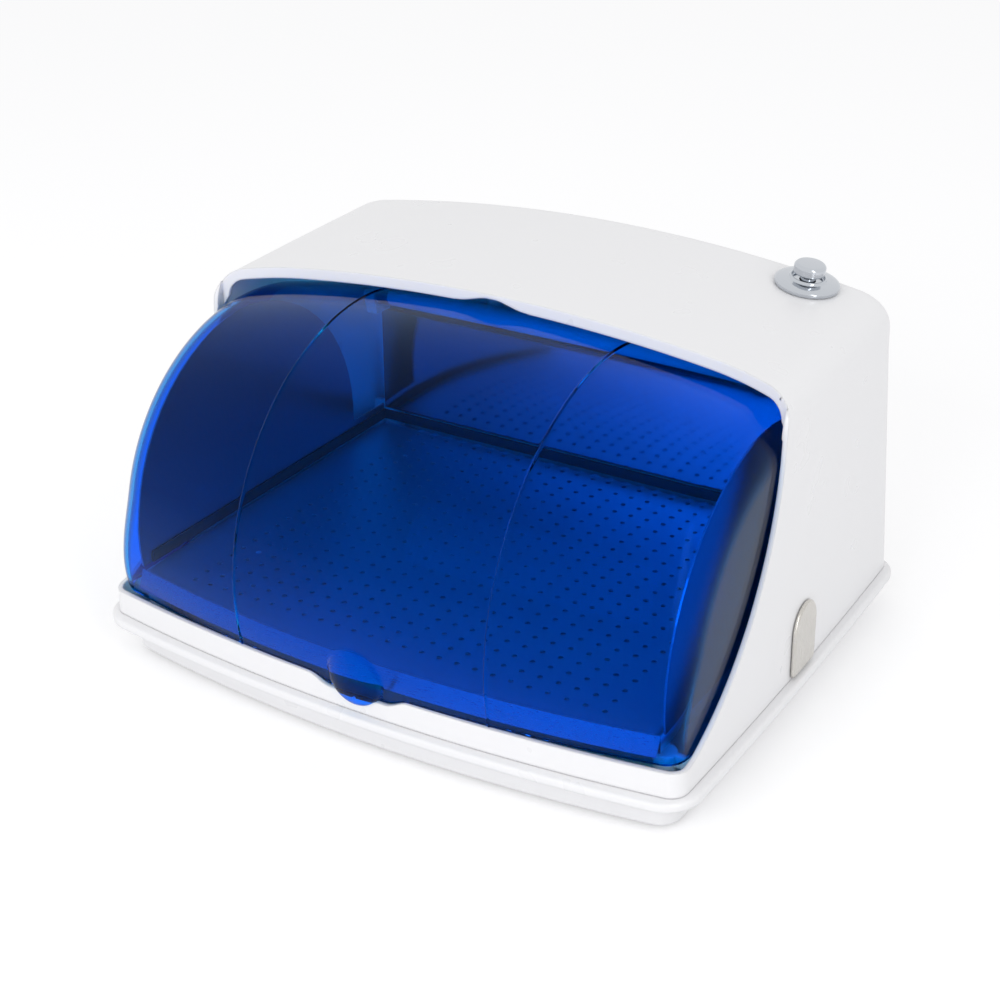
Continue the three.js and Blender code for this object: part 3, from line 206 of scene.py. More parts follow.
def plan_ring(insets, corner, corner_steps=10, side_steps=16, width_steps=40):
    """Points round the cabinet from above, counter-clockwise. A rectangle set in from the flange has quarter
    circles at its corners. With s from -1 to 1 along the depth and t = x / half width, x then grows by
    side_bow * t * (1 - s^2) and y by the front or rear bow * s * (1 - t^2)."""
    side, front, rear = insets
    half = width / 2 - side
    low = front_line + front
    high = rear_line - rear
    near = half - corner
    quarter = np.radians(np.linspace(0, 90, corner_steps + 1))
    arcs = []
    for x, y, start in (
        (near, low + corner, -90),
        (near, high - corner, 0),
        (-near, high - corner, 90),
        (-near, low + corner, 180),
    ):
        turn = quarter + math.radians(start)
        arcs.append(np.stack([x + corner * np.cos(turn), y + corner * np.sin(turn)], 1))
    parts = []
    for i, arc in enumerate(arcs):
        parts.append(arc)
        steps = width_steps if i % 2 else side_steps
        share = np.linspace(0, 1, steps + 1)[1:-1, None]
        parts.append(arc[-1] * (1 - share) + arcs[(i + 1) % 4][0] * share)
    ring = np.concatenate(parts)
    centre = (low + high) / 2
    s = (ring[:, 1] - centre) / ((high - low) / 2)
    t = ring[:, 0] / half
    bow = np.where(s < 0, front_bow, rear_bow)
    return np.stack([ring[:, 0] + side_bow * t * (1 - s**2), ring[:, 1] + bow * s * (1 - t**2)], 1)


def solid_mesh(name, points, faces):
    """A mesh from points in millimetres and faces of three or more corners."""
    mesh = bpy.data.meshes.new(name)
    mesh.from_pydata((np.asarray(points) * mm).tolist(), [], [list(map(int, face)) for face in faces])
    mesh.update()
    return mesh


def ring_faces(count, steps):
    """The point numbers of a count of rings, those of each point's next neighbour, and the faces between
    neighbouring rings."""
    index = np.arange(count * steps).reshape(count, steps)
    after = np.roll(index, -1, axis=1)
    return index, after, np.stack([index[:-1], after[:-1], after[1:], index[1:]], -1).reshape(-1, 4)


def lofted(name, rings):
    """A closed skin through rings of equal count, one above the other, with fans across the first and last
    from their middle points."""
    rings = np.asarray(rings, float)
    count, steps = rings.shape[:2]
    index, after, quads = ring_faces(count, steps)
    low = np.stack([np.full(steps, count * steps), after[0], index[0]], -1)
    high = np.stack([np.full(steps, count * steps + 1), index[-1], after[-1]], -1)
    points = np.concatenate([rings.reshape(-1, 3), [rings[0].mean(0), rings[-1].mean(0)]])
    return solid_mesh(name, points, [*quads.tolist(), *low.tolist(), *high.tolist()])


def extruded(name, outline, axis, start, end):
    """A straight prism: a closed outline of points carried along axis 0, 1 or 2 from start to end. The
    outline's two columns are the other two axes in cyclic order."""
    outline = np.asarray(outline, float)
    count = len(outline)
    following = np.roll(outline, -1, axis=0)
    if np.sum(outline[:, 0] * following[:, 1] - following[:, 0] * outline[:, 1]) < 0:
        outline = outline[::-1]
    points = np.zeros((2, count, 3))
    points[:, :, (axis + 1) % 3] = outline[:, 0]
    points[:, :, (axis + 2) % 3] = outline[:, 1]
    points[0, :, axis] = start
    points[1, :, axis] = end
    index = np.arange(count)
    after = (index + 1) % count
    walls = np.stack([index, after, after + count, index + count], -1).tolist()
    return solid_mesh(name, points.reshape(-1, 3), [*walls, index[::-1].tolist(), (index + count).tolist()])


def circle(x, y, radius, steps=32):
    """Points of a circle of a radius about x, y."""
    turn = np.linspace(0, 2 * np.pi, steps, endpoint=False)
    return np.stack([x + radius * np.cos(turn), y + radius * np.sin(turn)], 1)


def rectangle(low_x, high_x, low_y, high_y):
    """The corners of a rectangle."""
    return [(low_x, low_y), (high_x, low_y), (high_x, high_y), (low_x, high_y)]


def shown(name, mesh):
    """A scene object for a mesh."""
    made = bpy.data.objects.new(name, mesh)
    scene.collection.objects.link(made)
    return made


def combined(piece, meshes, how):
    """The piece after it is joined with, cut by or limited to each closed mesh in turn."""
    for mesh in meshes:
        other = shown("cutter", mesh)
        step = piece.modifiers.new("step", "BOOLEAN")
        step.operation = how
        step.solver = "EXACT"
        step.object = other
        made = bpy.data.meshes.new_from_object(piece.evaluated_get(bpy.context.evaluated_depsgraph_get()))
        piece.modifiers.clear()
        old = piece.data
        piece.data = made
        bpy.data.meshes.remove(old)
        bpy.data.objects.remove(other)
        bpy.data.meshes.remove(mesh)
    return piece


def smoothed(piece, angle=30):
    """The piece shaded smooth, except over edges that turn more than an angle in degrees."""
    mesh = piece.data
    mesh.polygons.foreach_set("use_smooth", np.ones(len(mesh.polygons), bool))
    mesh.set_sharp_from_angle(angle=math.radians(angle))
    return piece


def level_ring(insets, corner, height):
    """A plan ring at one height. One inset can stand for all three."""
    ring = plan_ring(np.broadcast_to(insets, 3), corner)
    return np.column_stack([ring, np.full(len(ring), height)])


flange_turn = np.radians(np.linspace(0, 90, 5))
flange_turns = [*zip(flange_round * (1 - np.cos(flange_turn)), flange_round * np.sin(flange_turn))]
crown_turns = [(flange_crown * i, flange_crown * up) for i, up in flange_turns]
edge_turn = np.radians(np.linspace(0, 90, 6))
edge_in = tray_edge * (1 - np.sin(edge_turn))
edge_up = tray_edge * (1 - np.cos(edge_turn))
upstand = housing_inset + housing_wall + gap
upstand_corner = housing_corner - housing_wall - gap
tray_section = [
    *[(tray_inset + i, foot_drop + up, tray_corner - i) for i, up in zip(edge_in, edge_up)],
    (tray_inset, flange_under - flange_foot, tray_corner),
    (tray_inset - flange_foot, flange_under, tray_corner + flange_foot),
    *[(i, flange_under + flange_round - up, flange_corner - i) for i, up in flange_turns[::-1]],
    *[(i, flange_top - flange_crown * flange_round + up, flange_corner - i) for i, up in crown_turns],
    (upstand, flange_top, upstand_corner),
    (upstand + upstand_draft, flange_top + upstand_height, upstand_corner - upstand_draft),
    (upstand + upstand_wall, flange_top + upstand_height, upstand_corner - upstand_wall),
    (upstand + upstand_wall, flange_under + tray_wall, upstand_corner - upstand_wall),
    (tray_inset + tray_wall, flange_under - tray_wall, tray_corner - tray_wall),
    (tray_inset + tray_wall + 0.5, foot_drop + tray_wall, tray_corner - tray_wall),
]
tray_rings = [level_ring(inset, corner, height) for inset, height, corner in tray_section]
tray = shown("tray", lofted("tray", tray_rings))
vents = [
    extruded("vent", rectangle(*vent_ends, y - vent_half, y + vent_half), 2, 0, foot_drop + tray_wall + 1)
    for y in range(-45, 6, 10)
]
wells = [extruded("well", circle(x, y, well_radius), 2, 0, well_top) for x, y in screw_places]
recesses = [extruded("recess", circle(x, y, recess_radius, 48), 2, 0, recess_top) for x, y in foot_places]
tubes = [extruded("tube", circle(x, y, tube_radius), 2, tube_foot, tube_top) for x, y in screw_places]
posts = [
    extruded("post", circle(side * post_x, end * post_y, post_radius), 2, post_foot, post_top)
    for side in both_sides
    for end in both_sides
]
seat = shown("seat", extruded("seat", rectangle(*switch_seat), 2, post_foot, switch_seat_top))
within = [level_ring(tray_inset + 1.8, tray_corner, height) for height in (2.0, 52.0)]
combined(seat, [lofted("within", within)], "INTERSECT")
combined(tray, tubes + posts + [seat.data.copy()], "UNION")
bpy.data.objects.remove(seat)
combined(tray, vents + wells + recesses, "DIFFERENCE")
smoothed(tray)


def grain(tree, scale, detail, drawn=None):
    """Noise in the object's own space, at a scale in cycles per metre. Another scale along each axis can draw
    it out."""
    place = node(tree, "ShaderNodeTexCoord").outputs["Object"]
    if drawn:
        place = node(tree, "ShaderNodeMapping", [("Vector", place)], Scale=drawn).outputs[0]
    return node(tree, "ShaderNodeTexNoise", [("Vector", place)], Scale=scale, Detail=detail).outputs["Fac"]


def spread(tree, share, low, high):
    """A value that goes from low to high as a share goes from 0 to 1."""
    return node(tree, "ShaderNodeMapRange", [("Value", share)], To_Min=low, To_Max=high).outputs[0]


def relief(tree, height, strength, distance, links=()):
    """A bumped normal for a height."""
    links = [("Height", height), *links]
    return node(tree, "ShaderNodeBump", links, Strength=strength, Distance=distance).outputs[0]


def surface(tree, links, **settings):
    """A Principled shader as the surface of a material."""
    shader = node(tree, "ShaderNodeBsdfPrincipled", links, **settings)
    node(tree, "ShaderNodeOutputMaterial", [("Surface", shader.outputs[0])])


def covered(mesh, *materials):
    """A mesh that has these materials and no others."""
    mesh.materials.clear()
    for material in materials:
        mesh.materials.append(material)


def moulded_abs():
    """Glossy white ABS from a polished mould: a soft even sheen with a very faint ripple from cooling, and
    edges that the mould rounds by a millimetre and a half."""
    made, tree = blank_material("glossy white moulded ABS")
    ripple = grain(tree, 38.0, 2.0)
    edge = node(tree, "ShaderNodeBevel", samples=6, Radius=0.0016)
    normal = relief(tree, ripple, 0.08, 0.0006, [("Normal", edge.outputs[0])])
    roughness = spread(tree, ripple, 0.24, 0.34)
    surface(tree, [("Normal", normal), ("Roughness", roughness)], Base_Color=linear("#E4E4E6"), IOR=1.53)
    return made


white_abs = moulded_abs()
covered(tray.data, white_abs)
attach(tray, "cabinet")
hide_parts("base_tray")

# Upper housing: the crowned roof, drafted walls and hollow cheeks, moulded in one with the tray's white ABS.
# Its front is open from the rim to the sill. A turned-down strip of even width follows the rim over both
# shoulders, and a wave in it clears the grip. Bosses inside carry the door, the reflector and the panel.
seam = flange_top + gap
side_draft = 1.0
rear_draft = 9.3
roof_height = 213.1
roof_crown = 950.0
roof_fall = 0.034
shoulder = 14.7
sill = 39.5
rim_place = -13.5
rim_straight = 125.0
rim_sweep = 9.0
rim_depth = 6.3
rim_wall = 2.6
door_half = 171.0
pivot_y = -19.4
pivot_z = 69.6
cheek_radius = 147.2
cheek_centre = (-174.8, 176.0)
cheek_top = 192.0
cheek_turn_height = 184.0
out_front = -300
overhead = 215
rim_bottom = 150
cut_top = 230
way_play = 0.6
way_rear = -27.7
wave_half = 22
wave_rise = 4
lamp_y = 97.0
lamp_z = 150.0
reflector_x = 60
reflector_back = 168.8
inner_reach = 178
pivot_boss = 9.0
screw_boss = 6.0
screw_boss_tops = (38.0, 60.0)
rib_half = 1.5
standoff_x = 120
standoff_y = (120.0, 149.0)
standoff_z = (72.0, 130.0)
pivot_pilot = 2.3
screw_pilot = 1.9


def roof_at(x, y):
    """The roof's height: a circular crown across the width, sqrt(R^2 - x^2) - R, and a straight fall of
    0.034 per unit from the rear line to the front."""
    crown = roof_crown - np.sqrt(roof_crown**2 - np.square(x))
    return roof_height - crown - roof_fall * np.maximum(rear_line + rear_bow - housing_inset - y, 0)


def rim_at(x):
    """Where the rim stands: straight for |x| under 125, then forward by 9 times the square of the share of
    the way to the door's edge."""
    beyond = np.maximum(np.abs(x) - rim_straight, 0) / (door_half - rim_straight)
    return rim_place - rim_sweep * beyond**2


def housing_form(thickness, bottom, shoulder_steps=14):
    """The housing as closed rings set in by a thickness. Up the wall the inset grows with the mould's draft.
    Round the shoulder, at angle a, it grows by r (1 - cos a), or half that at the rear, while the height
    rises by r sin a. Over the roof the last ring shrinks towards the middle."""
    def insets(height):
        climb = height - seam
        side = housing_inset + thickness + climb * math.tan(math.radians(side_draft))
        rear = housing_inset + thickness + climb * math.tan(math.radians(rear_draft))
        return side, side, rear

    radius = shoulder - thickness
    corner = max(housing_corner - thickness, 1.0)
    springing = float(roof_at(width / 2, middle_y)) - shoulder
    rings = []
    wall_top = springing - 6
    for height in np.linspace(bottom, wall_top, 10):
        rings.append(level_ring(insets(height), corner, height))
    for angle in np.radians(np.linspace(0, 90, shoulder_steps + 1)):
        inward = radius * (1 - math.cos(angle))
        side, front, rear = insets(springing)
        ring = plan_ring((side + inward, front + inward, rear + inward * 0.5), corner)
        height = roof_at(ring[:, 0], ring[:, 1]) - thickness - radius * (1 - math.sin(angle))
        rings.append(np.column_stack([ring, height]))
    last = rings[-1]
    for share in np.linspace(0.95, 0.05, 19):
        x = last[:, 0] * share
        y = middle_y + (last[:, 1] - middle_y) * share
        rings.append(np.column_stack([x, y, roof_at(x, y) - thickness]))
    return rings


def cheek_edge(set_back):
    """The cheeks' front edge in side view, y and z: a cubic Bezier turn below the rim, then a circular arc
    whose centre lies ahead of the cabinet, all moved back by a distance."""
    turn = np.radians(np.linspace(-2, -65, 49))
    arc = np.array(cheek_centre) + cheek_radius * np.stack([np.cos(turn), np.sin(turn)], 1)
    start = np.array([float(rim_at(door_half)), cheek_top])
    near = np.array([start[0], cheek_turn_height])
    far = np.array([arc[0, 0], cheek_turn_height])
    t = np.linspace(0, 1, 17)[:-1, None]
    bezier = (1 - t) ** 3 * start + 3 * (1 - t) ** 2 * t * near + 3 * (1 - t) * t**2 * far + t**3 * arc[0]
    edge = np.concatenate([bezier, arc])
    edge[:, 0] += set_back
    return edge


edge = cheek_edge(0)
edge_foot = edge[-1]
heel_turn = np.array([edge_foot[0] - 7, sill])
heel_end = np.array([edge_foot[0] - 14, sill])
t = np.linspace(0, 1, 13)[1:, None]
heel = (1 - t) ** 2 * edge_foot + 2 * (1 - t) * t * heel_turn + t**2 * heel_end
opening = np.concatenate([[(edge[0, 0], overhead)], edge, heel, [(out_front, sill), (out_front, overhead)]])
across = np.linspace(-door_half, door_half, 81)
rim_line = np.stack([across, rim_at(across)], 1)
ahead = np.concatenate([[(-door_half, out_front)], rim_line, [(door_half, out_front)]])
band = np.concatenate([rim_line, rim_line[::-1] + (0, rim_wall)])
fade_half = [(180, 215), (180, 170), (172, 170), (165, 183.1)]
fade = [(z, -x) for x, z in fade_half] + [(z, x) for x, z in fade_half[::-1]]
housing = shown("housing", lofted("housing", housing_form(0, seam)))
rim = shown("rim", extruded("rim", band, 2, rim_bottom, overhead))
ends = shown("ends", extruded("ends", np.concatenate([edge, cheek_edge(rim_wall)[::-1]]), 0, -190, 190))
middle = extruded("middle", rectangle(-door_half, door_half, out_front, -out_front), 2, 140, cut_top)
combined(ends, [middle], "DIFFERENCE")
combined(rim, [ends.data.copy()], "UNION")
bpy.data.objects.remove(ends)
within = lofted("within", housing_form(0, seam))
combined(rim, [within, extruded("fade", fade, 1, -60, 20)], "INTERSECT")
rim_under = float(roof_at(0, rim_place)) - rim_depth
wave_x = np.linspace(-wave_half, wave_half, 25)
wave_z = rim_under + wave_rise / 2 * (1 - np.cos(np.linspace(0, 2 * np.pi, 25)))
wave_low = rim_under - wave_rise
wave = np.concatenate([[(wave_low, -wave_half)], np.stack([wave_z, wave_x], 1), [(wave_low, wave_half)]])
rim_hollow = lofted("hollow", housing_form(rim_depth, seam - 1))
combined(rim, [rim_hollow, extruded("wave", wave, 1, -60, 0)], "DIFFERENCE")
clear_way = door_half + way_play
way = rectangle(-clear_way, clear_way, out_front, way_rear)
openings = [
    lofted("hollow", housing_form(housing_wall, seam - 1)),
    extruded("opening", opening, 0, -200, 200),
    extruded("way", way, 2, sill, pivot_z),
    extruded("ahead", ahead, 2, rim_bottom, cut_top),
]
combined(housing, openings, "DIFFERENCE")
combined(housing, [rim.data.copy()], "UNION")
bpy.data.objects.remove(rim)
inner = []
bores = [extruded("pivot bore", circle(pivot_y, pivot_z, pivot_pilot, 24), 0, -174.5, 174.5)]
for side in both_sides:
    boss_ends = sorted((side * (door_half + gap), side * inner_reach))
    inner.append(extruded("pivot boss", circle(pivot_y, pivot_z, pivot_boss, 48), 0, *boss_ends))
    for y, top in zip(screw_rows, screw_boss_tops):
        inner.append(extruded("screw boss", circle(side * screw_x, y, screw_boss), 2, seam + gap, top))
        web = rectangle(side * screw_x, side * inner_reach, y - rib_half, y + rib_half)
        inner.append(extruded("gusset", web, 2, flange_top + 4.8, top))
        pilot = circle(side * screw_x, y, screw_pilot, 24)
        bores.append(extruded("screw bore", pilot, 2, seam - 1, seam + 9))
    rib = rectangle(side * standoff_x - rib_half, side * standoff_x + rib_half, *standoff_y)
    inner.append(extruded("standoff", rib, 2, *standoff_z))
    post = circle(side * reflector_x, lamp_y, post_radius)
    inner.append(extruded("reflector post", post, 2, reflector_back, 213))
    bores.append(extruded("post bore", circle(side * reflector_x, lamp_y, screw_pilot, 24), 2, lamp_z, 180.8))
fittings = shown("fittings", inner[0])
combined(fittings, inner[1:], "UNION")
combined(fittings, [lofted("within", housing_form(0.6, seam))], "INTERSECT")
combined(housing, [fittings.data.copy()], "UNION")
bpy.data.objects.remove(fittings)
combined(housing, bores, "DIFFERENCE")

# The sill dips under the grip to make room for the tab at the door's foot. The roof is bored square to its
# slope for the switch's neck and nut.
tab_half = 31.0
tab_drop = 4.6
tab_ease = 15
tab_ends = (-160, -125)
button_x = 129.3
button_y = 97.2
neck_radius = 6.5
nut_radius = 8.96
bore_reach = 14


def tab_wave(drop, half, reach):
    """Outline of the tab, z and x: flat in its middle, and eased to both sides by half a cosine."""
    x = np.linspace(-half, half, 41)
    share = np.clip((half - np.abs(x)) / tab_ease, 0, 1)
    z = sill + gap - drop * (1 - np.cos(np.pi * share)) / 2
    return np.concatenate([[(reach, -half)], np.stack([z, x], 1), [(reach, half)]])


tab_room = tab_wave(tab_drop + gap, tab_half + way_play, sill + 4)
combined(housing, [extruded("tab room", tab_room, 1, *tab_ends)], "DIFFERENCE")
roof_normal = np.array([button_x / math.sqrt(roof_crown**2 - button_x**2), -roof_fall, 1.0])
roof_normal /= np.linalg.norm(roof_normal)
level = np.cross([0.0, 1.0, 0.0], roof_normal)
level /= np.linalg.norm(level)
slanted = np.cross(roof_normal, level)
button_seat = np.array([button_x, button_y, float(roof_at(button_x, button_y))])


def roof_rings(section, steps):
    """Rings round the roof's normal at the button, one for each pair of radius and height over the skin."""
    section = np.asarray(section, float)
    turn = np.linspace(0, 2 * np.pi, steps, endpoint=False)
    unit = np.cos(turn)[:, None] * level + np.sin(turn)[:, None] * slanted
    return button_seat + section[:, 0, None, None] * unit + section[:, 1, None, None] * roof_normal


neck_bore = lofted("bore", roof_rings([(neck_radius, -bore_reach), (neck_radius, bore_reach)], 48))
nut_room = lofted("bore", roof_rings([(nut_radius, -bore_reach), (nut_radius, -housing_wall)], 48))
combined(housing, [neck_bore, nut_room], "DIFFERENCE")
smoothed(housing)
covered(housing.data, white_abs)
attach(housing, "cabinet")
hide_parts("upper_housing")

# Door: a visor of blue tinted cast acrylic, crowned across its width and turned about the two pivot screws.
# Its ends roll over into flat side plates with hubs. Two thin beads run round it, and a drop-shaped finger
# grip swells from its foot.
door_radius = 128.2
door_crown = 800.0
door_wall = 2.5
door_reach = 175
foot_fillet = 12
fillet_growth = 16
bead_place = 75.6
bead_height = 0.8
bead_width = 0.5
grip_y = -144.6
grip_z = 46.8
grip_half = (16.5, 6.1, 17.0)
grip_turns = (math.radians(178), math.radians(208))
grip_room = (-160, -146.2, 26, 42)
grip_room_half = 21
blend = 2.0
hub = 14.0
hub_run = 60
top_turn = math.radians(77)
bush_bore = 6.6


def fillet_at(turn):
    """The fillet's radius at an angle about the pivot: 12 at the foot, 28 from 30 degrees above it, eased
    between them as 3 t^2 - 2 t^3."""
    foot_turn = math.pi + math.asin((pivot_z - sill) / door_radius)
    t = np.clip(np.abs(turn - foot_turn) / math.radians(30), 0, 1)
    return foot_fillet + fillet_growth * (3 * t**2 - 2 * t**3)


def door_section(thickness, outer_fillet):
    """Radius against place across the door: a crown sqrt(C^2 - x^2) + R - C, rolled over at both ends by a
    fillet tangent to it and to the side plate. All are set in by a wall thickness. Beads 0.8 mm high follow
    exp(-(d / 0.5)^2) of the distance d from their places. Columns stand close over the grip and the beads."""
    half = door_half - thickness
    fillet = outer_fillet - thickness
    crown = door_crown - thickness
    base = door_radius - door_crown
    centre_x = half - fillet
    centre_r = base + math.sqrt((crown - fillet) ** 2 - centre_x**2)
    lean = math.asin(centre_x / (crown - fillet))
    fine = bead_place + np.linspace(-1.5, 1.5, 13)
    coarse = np.concatenate([np.arange(0, 27, 0.9), np.arange(28, 140, 3.0)])
    x = np.unique(np.concatenate([coarse[np.abs(coarse - bead_place) > 1.8], fine]))
    x = np.concatenate([x, np.linspace(140, crown * math.sin(lean), 9)])
    r = base + np.sqrt(crown**2 - x**2)
    if thickness == 0:
        r = r + bead_height * np.exp(-(((x - bead_place) / bead_width) ** 2))
    roll = np.linspace(math.pi / 2 - lean, 0, 19)[1:]
    x = np.concatenate([x, centre_x + fillet * np.cos(roll)])
    r = np.concatenate([r, centre_r + fillet * np.sin(roll)])
    return np.concatenate([-x[:0:-1], x]), np.concatenate([r[:0:-1], r])


def barrel(name, thickness, grip=False):
    """The door's full barrel: the section turned about the pivot line, closed by flat ends. Where it is
    asked for, the radius follows the grip: the soft maximum, with a blend of 2 mm, of the barrel and of the
    far side of an ellipsoid on the ray from the pivot."""
    turn = np.linspace(0, 2 * np.pi, 200, endpoint=False)
    low, high = grip_turns
    if grip:
        outside = turn[(turn < low) | (turn > high)]
        turn = np.sort(np.concatenate([outside, np.linspace(low, high, 90)]))
    sections = [door_section(thickness, fillet_at(angle)) for angle in turn]
    xx = np.array([section[0] for section in sections])
    rr = np.array([section[1] for section in sections])
    tt = np.broadcast_to(turn[:, None], rr.shape)
    if grip:
        dy, dz = np.cos(tt), np.sin(tt)
        cy, cz = grip_y - pivot_y, grip_z - pivot_z
        ax, ay, az = grip_half
        room = 1 - (xx / ax) ** 2
        a = (dy / ay) ** 2 + (dz / az) ** 2
        b = dy * cy / ay**2 + dz * cz / az**2
        c = (cy / ay) ** 2 + (cz / az) ** 2 - room
        found = b * b - a * c
        hit = np.where((found > 0) & (b > 0), (b + np.sqrt(np.maximum(found, 0))) / a, 0)
        share = np.clip(0.5 + 0.5 * (hit - rr) / blend, 0, 1)
        rr = rr * (1 - share) + hit * share + blend * share * (1 - share)
    rings = np.stack([xx, pivot_y + rr * np.cos(tt), pivot_z + rr * np.sin(tt)], -1)
    return lofted(name, np.swapaxes(rings, 0, 1))


far = 2 * door_radius
hub_turn = np.radians(np.linspace(-90, 0, 13))
kept = np.concatenate([
    [(pivot_y - far, sill + gap), (pivot_y - hub_run, sill + gap), (pivot_y - hub / 2, pivot_z - hub)],
    np.stack([pivot_y + hub * np.cos(hub_turn), pivot_z + hub * np.sin(hub_turn)], 1),
    [(pivot_y + far / math.tan(top_turn), pivot_z + far), (pivot_y - far, pivot_z + far)],
])
door = shown("door", barrel("door", 0, grip=True))
combined(door, [barrel("hollow", door_wall)], "DIFFERENCE")
keep = shown("keep", extruded("keep", kept, 0, -door_reach, door_reach))
grip_form = extruded("grip room", rectangle(*grip_room), 0, -grip_room_half, grip_room_half)
tab_form = extruded("tab", tab_wave(tab_drop, tab_half, sill + 2), 1, *tab_ends)
combined(keep, [grip_form, tab_form], "UNION")
combined(door, [keep.data.copy()], "INTERSECT")
bpy.data.objects.remove(keep)
bore = extruded("bore", circle(pivot_y, pivot_z, bush_bore, 48), 0, -door_reach, door_reach)
combined(door, [bore], "DIFFERENCE")
smoothed(door, 25)


def tinted_acrylic():
    """Cast acrylic dyed deep blue and polished: mirror-smooth, with the dye's colour seen once on the way
    through each face. A slanted view goes through more of the dye, so it is darker. Lamps pass it as a paler
    blue, as they do in the real sheet."""
    made, tree = blank_material("blue tinted cast acrylic")
    slant = node(tree, "ShaderNodeLayerWeight", Blend=0.5)
    facing = slant.outputs["Facing"]
    share = node(tree, "ShaderNodeMapRange", [("Value", facing)], From_Min=0.45, From_Max=0.85)
    dye = node(tree, "ShaderNodeMix", [(0, share.outputs[0])], data_type="RGBA")
    dye.inputs[6].default_value = linear("#009EFF")
    dye.inputs[7].default_value = linear("#001E56")
    shader = node(
        tree,
        "ShaderNodeBsdfPrincipled",
        [("Normal", relief(tree, grain(tree, 14.0, 1.0), 0.05, 0.001)), ("Base Color", dye.outputs[2])],
        Roughness=0.0,
        IOR=1.22,
        Transmission_Weight=1.0,
        Specular_Tint=linear("#5A96F0"),
    )
    clear = node(tree, "ShaderNodeBsdfTransparent", Color=linear("#B0EEFF"))
    shadow = node(tree, "ShaderNodeLightPath").outputs["Is Shadow Ray"]
    mix = node(tree, "ShaderNodeMixShader", [(0, shadow), (1, shader.outputs[0]), (2, clear.outputs[0])])
    node(tree, "ShaderNodeOutputMaterial", [("Surface", mix.outputs[0])])
    return made


covered(door.data, tinted_acrylic())
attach(door, "door")
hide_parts("door_shell")

# Chamber floor: satin steel sheet, perforated all over with 3 mm holes on a square pitch of 10.5 mm. Its
# sides and rear are bent down with a soft radius. Its front slopes down as a lip whose darker steel colour
# is painted shade.
pitch = 10.5
hole = 1.5
hole_steps = 16
columns = np.arange(-12, 13)
rows = np.arange(-11, 11)
field_x = (columns[-1] + 0.5) * pitch
field_front = (rows[0] - 0.5) * pitch
field_rear = (rows[-1] + 0.5) * pitch
floor_sheet = 1.0
floor_top = 52.0
floor_half = 158.7
floor_rear = 114.0
floor_front_side = -124.3
floor_front_middle = -140.5
fold_radius = 4.5
fold_drop = 9.5
lip_run = 4.0
lip_drop = 10.0
lip_half = 158.4
flat_half = floor_half - fold_radius
flat_rear = floor_rear - fold_radius


def floor_front(x):
    """The floor's front edge: a parabola from the sides to the middle."""
    return floor_front_side + (floor_front_middle - floor_front_side) * (1 - (x / floor_half) ** 2)


def perforated():
    """Square cells with a round hole in each: points round the hole are joined to as many round the cell's
    edge. Cells share nothing, and are welded later."""
    turn = np.radians(np.arange(hole_steps) * 360 / hole_steps + 45)
    unit = np.stack([np.cos(turn), np.sin(turn)], 1)
    cell = np.concatenate([hole * unit, unit / np.abs(unit).max(1)[:, None] * pitch / 2])
    centres = np.stack(np.meshgrid(columns * pitch, rows * pitch), -1).reshape(-1, 1, 2)
    points = (centres + cell).reshape(-1, 2)
    index = np.arange(hole_steps)
    after = (index + 1) % hole_steps
    quads = np.stack([index, after, after + hole_steps, index + hole_steps], -1)[:, ::-1]
    faces = (quads[None] + np.arange(len(centres))[:, None, None] * len(cell)).reshape(-1, 4)
    return np.column_stack([points, np.full(len(points), floor_top)]), faces


def row(x, y):
    """Points on the floor's top, of which x or y may be one number for all."""
    return np.stack(np.broadcast_arrays(x, y, floor_top), 1)


edge_x = np.linspace(-field_x, field_x, 51)
rear_x = np.concatenate([[-flat_half], edge_x, [flat_half]])
lip_x = np.concatenate([[-lip_half], rear_x, [lip_half]])
inner_start = floor_front(field_x) + lip_run
inner_y = np.concatenate([[inner_start], np.linspace(field_front, field_rear, 45), [flat_rear]])
outer_y = np.concatenate([[floor_front(flat_half) + lip_run], inner_y[1:]])
fold_turn = np.radians(np.linspace(0, 90, 7))
fold = [*zip(fold_radius * np.sin(fold_turn), fold_radius * (1 - np.cos(fold_turn)))]
fold.append((fold_radius, fold_drop))
slope = [(0, 0), (0.3, 0.2), (lip_run, lip_drop)]
grids = [
    [row(edge_x, floor_front(edge_x) + lip_run), row(edge_x, field_front)],
    [row(edge_x, field_rear), row(edge_x, flat_rear)],
    [row(flat_half, outer_y), row(field_x, inner_y)],
    [row(-field_x, inner_y), row(-flat_half, outer_y)],
]
for line, out_x, out_y, profile in (
    (row(flat_half, outer_y), 1, 0, fold),
    (row(-flat_half, outer_y[::-1]), -1, 0, fold),
    (row(rear_x[::-1], flat_rear), 0, 1, fold),
    (row(lip_x, floor_front(lip_x) + lip_run), 0, -1, slope),
):
    grids.append([line + (out * out_x, out * out_y, -down) for out, down in profile[::-1]])
floor_points, floor_faces = perforated()
for grid in map(np.array, grids):
    index = len(floor_points) + np.arange(grid.shape[0] * grid.shape[1]).reshape(grid.shape[:2])
    quads = np.stack([index[1:, :-1], index[:-1, :-1], index[:-1, 1:], index[1:, 1:]], -1).reshape(-1, 4)
    floor_points = np.concatenate([floor_points, grid.reshape(-1, 3)])
    floor_faces = np.concatenate([floor_faces, quads])
grid_floor = shown("perforated_floor", solid_mesh("perforated_floor", floor_points, floor_faces))


def welded(piece, distance=0.00002):
    """The piece with corners closer than a distance merged."""
    step = piece.modifiers.new("weld", "WELD")
    step.merge_threshold = distance
    made = bpy.data.meshes.new_from_object(piece.evaluated_get(bpy.context.evaluated_depsgraph_get()))
    piece.modifiers.clear()
    piece.data = made
    return piece


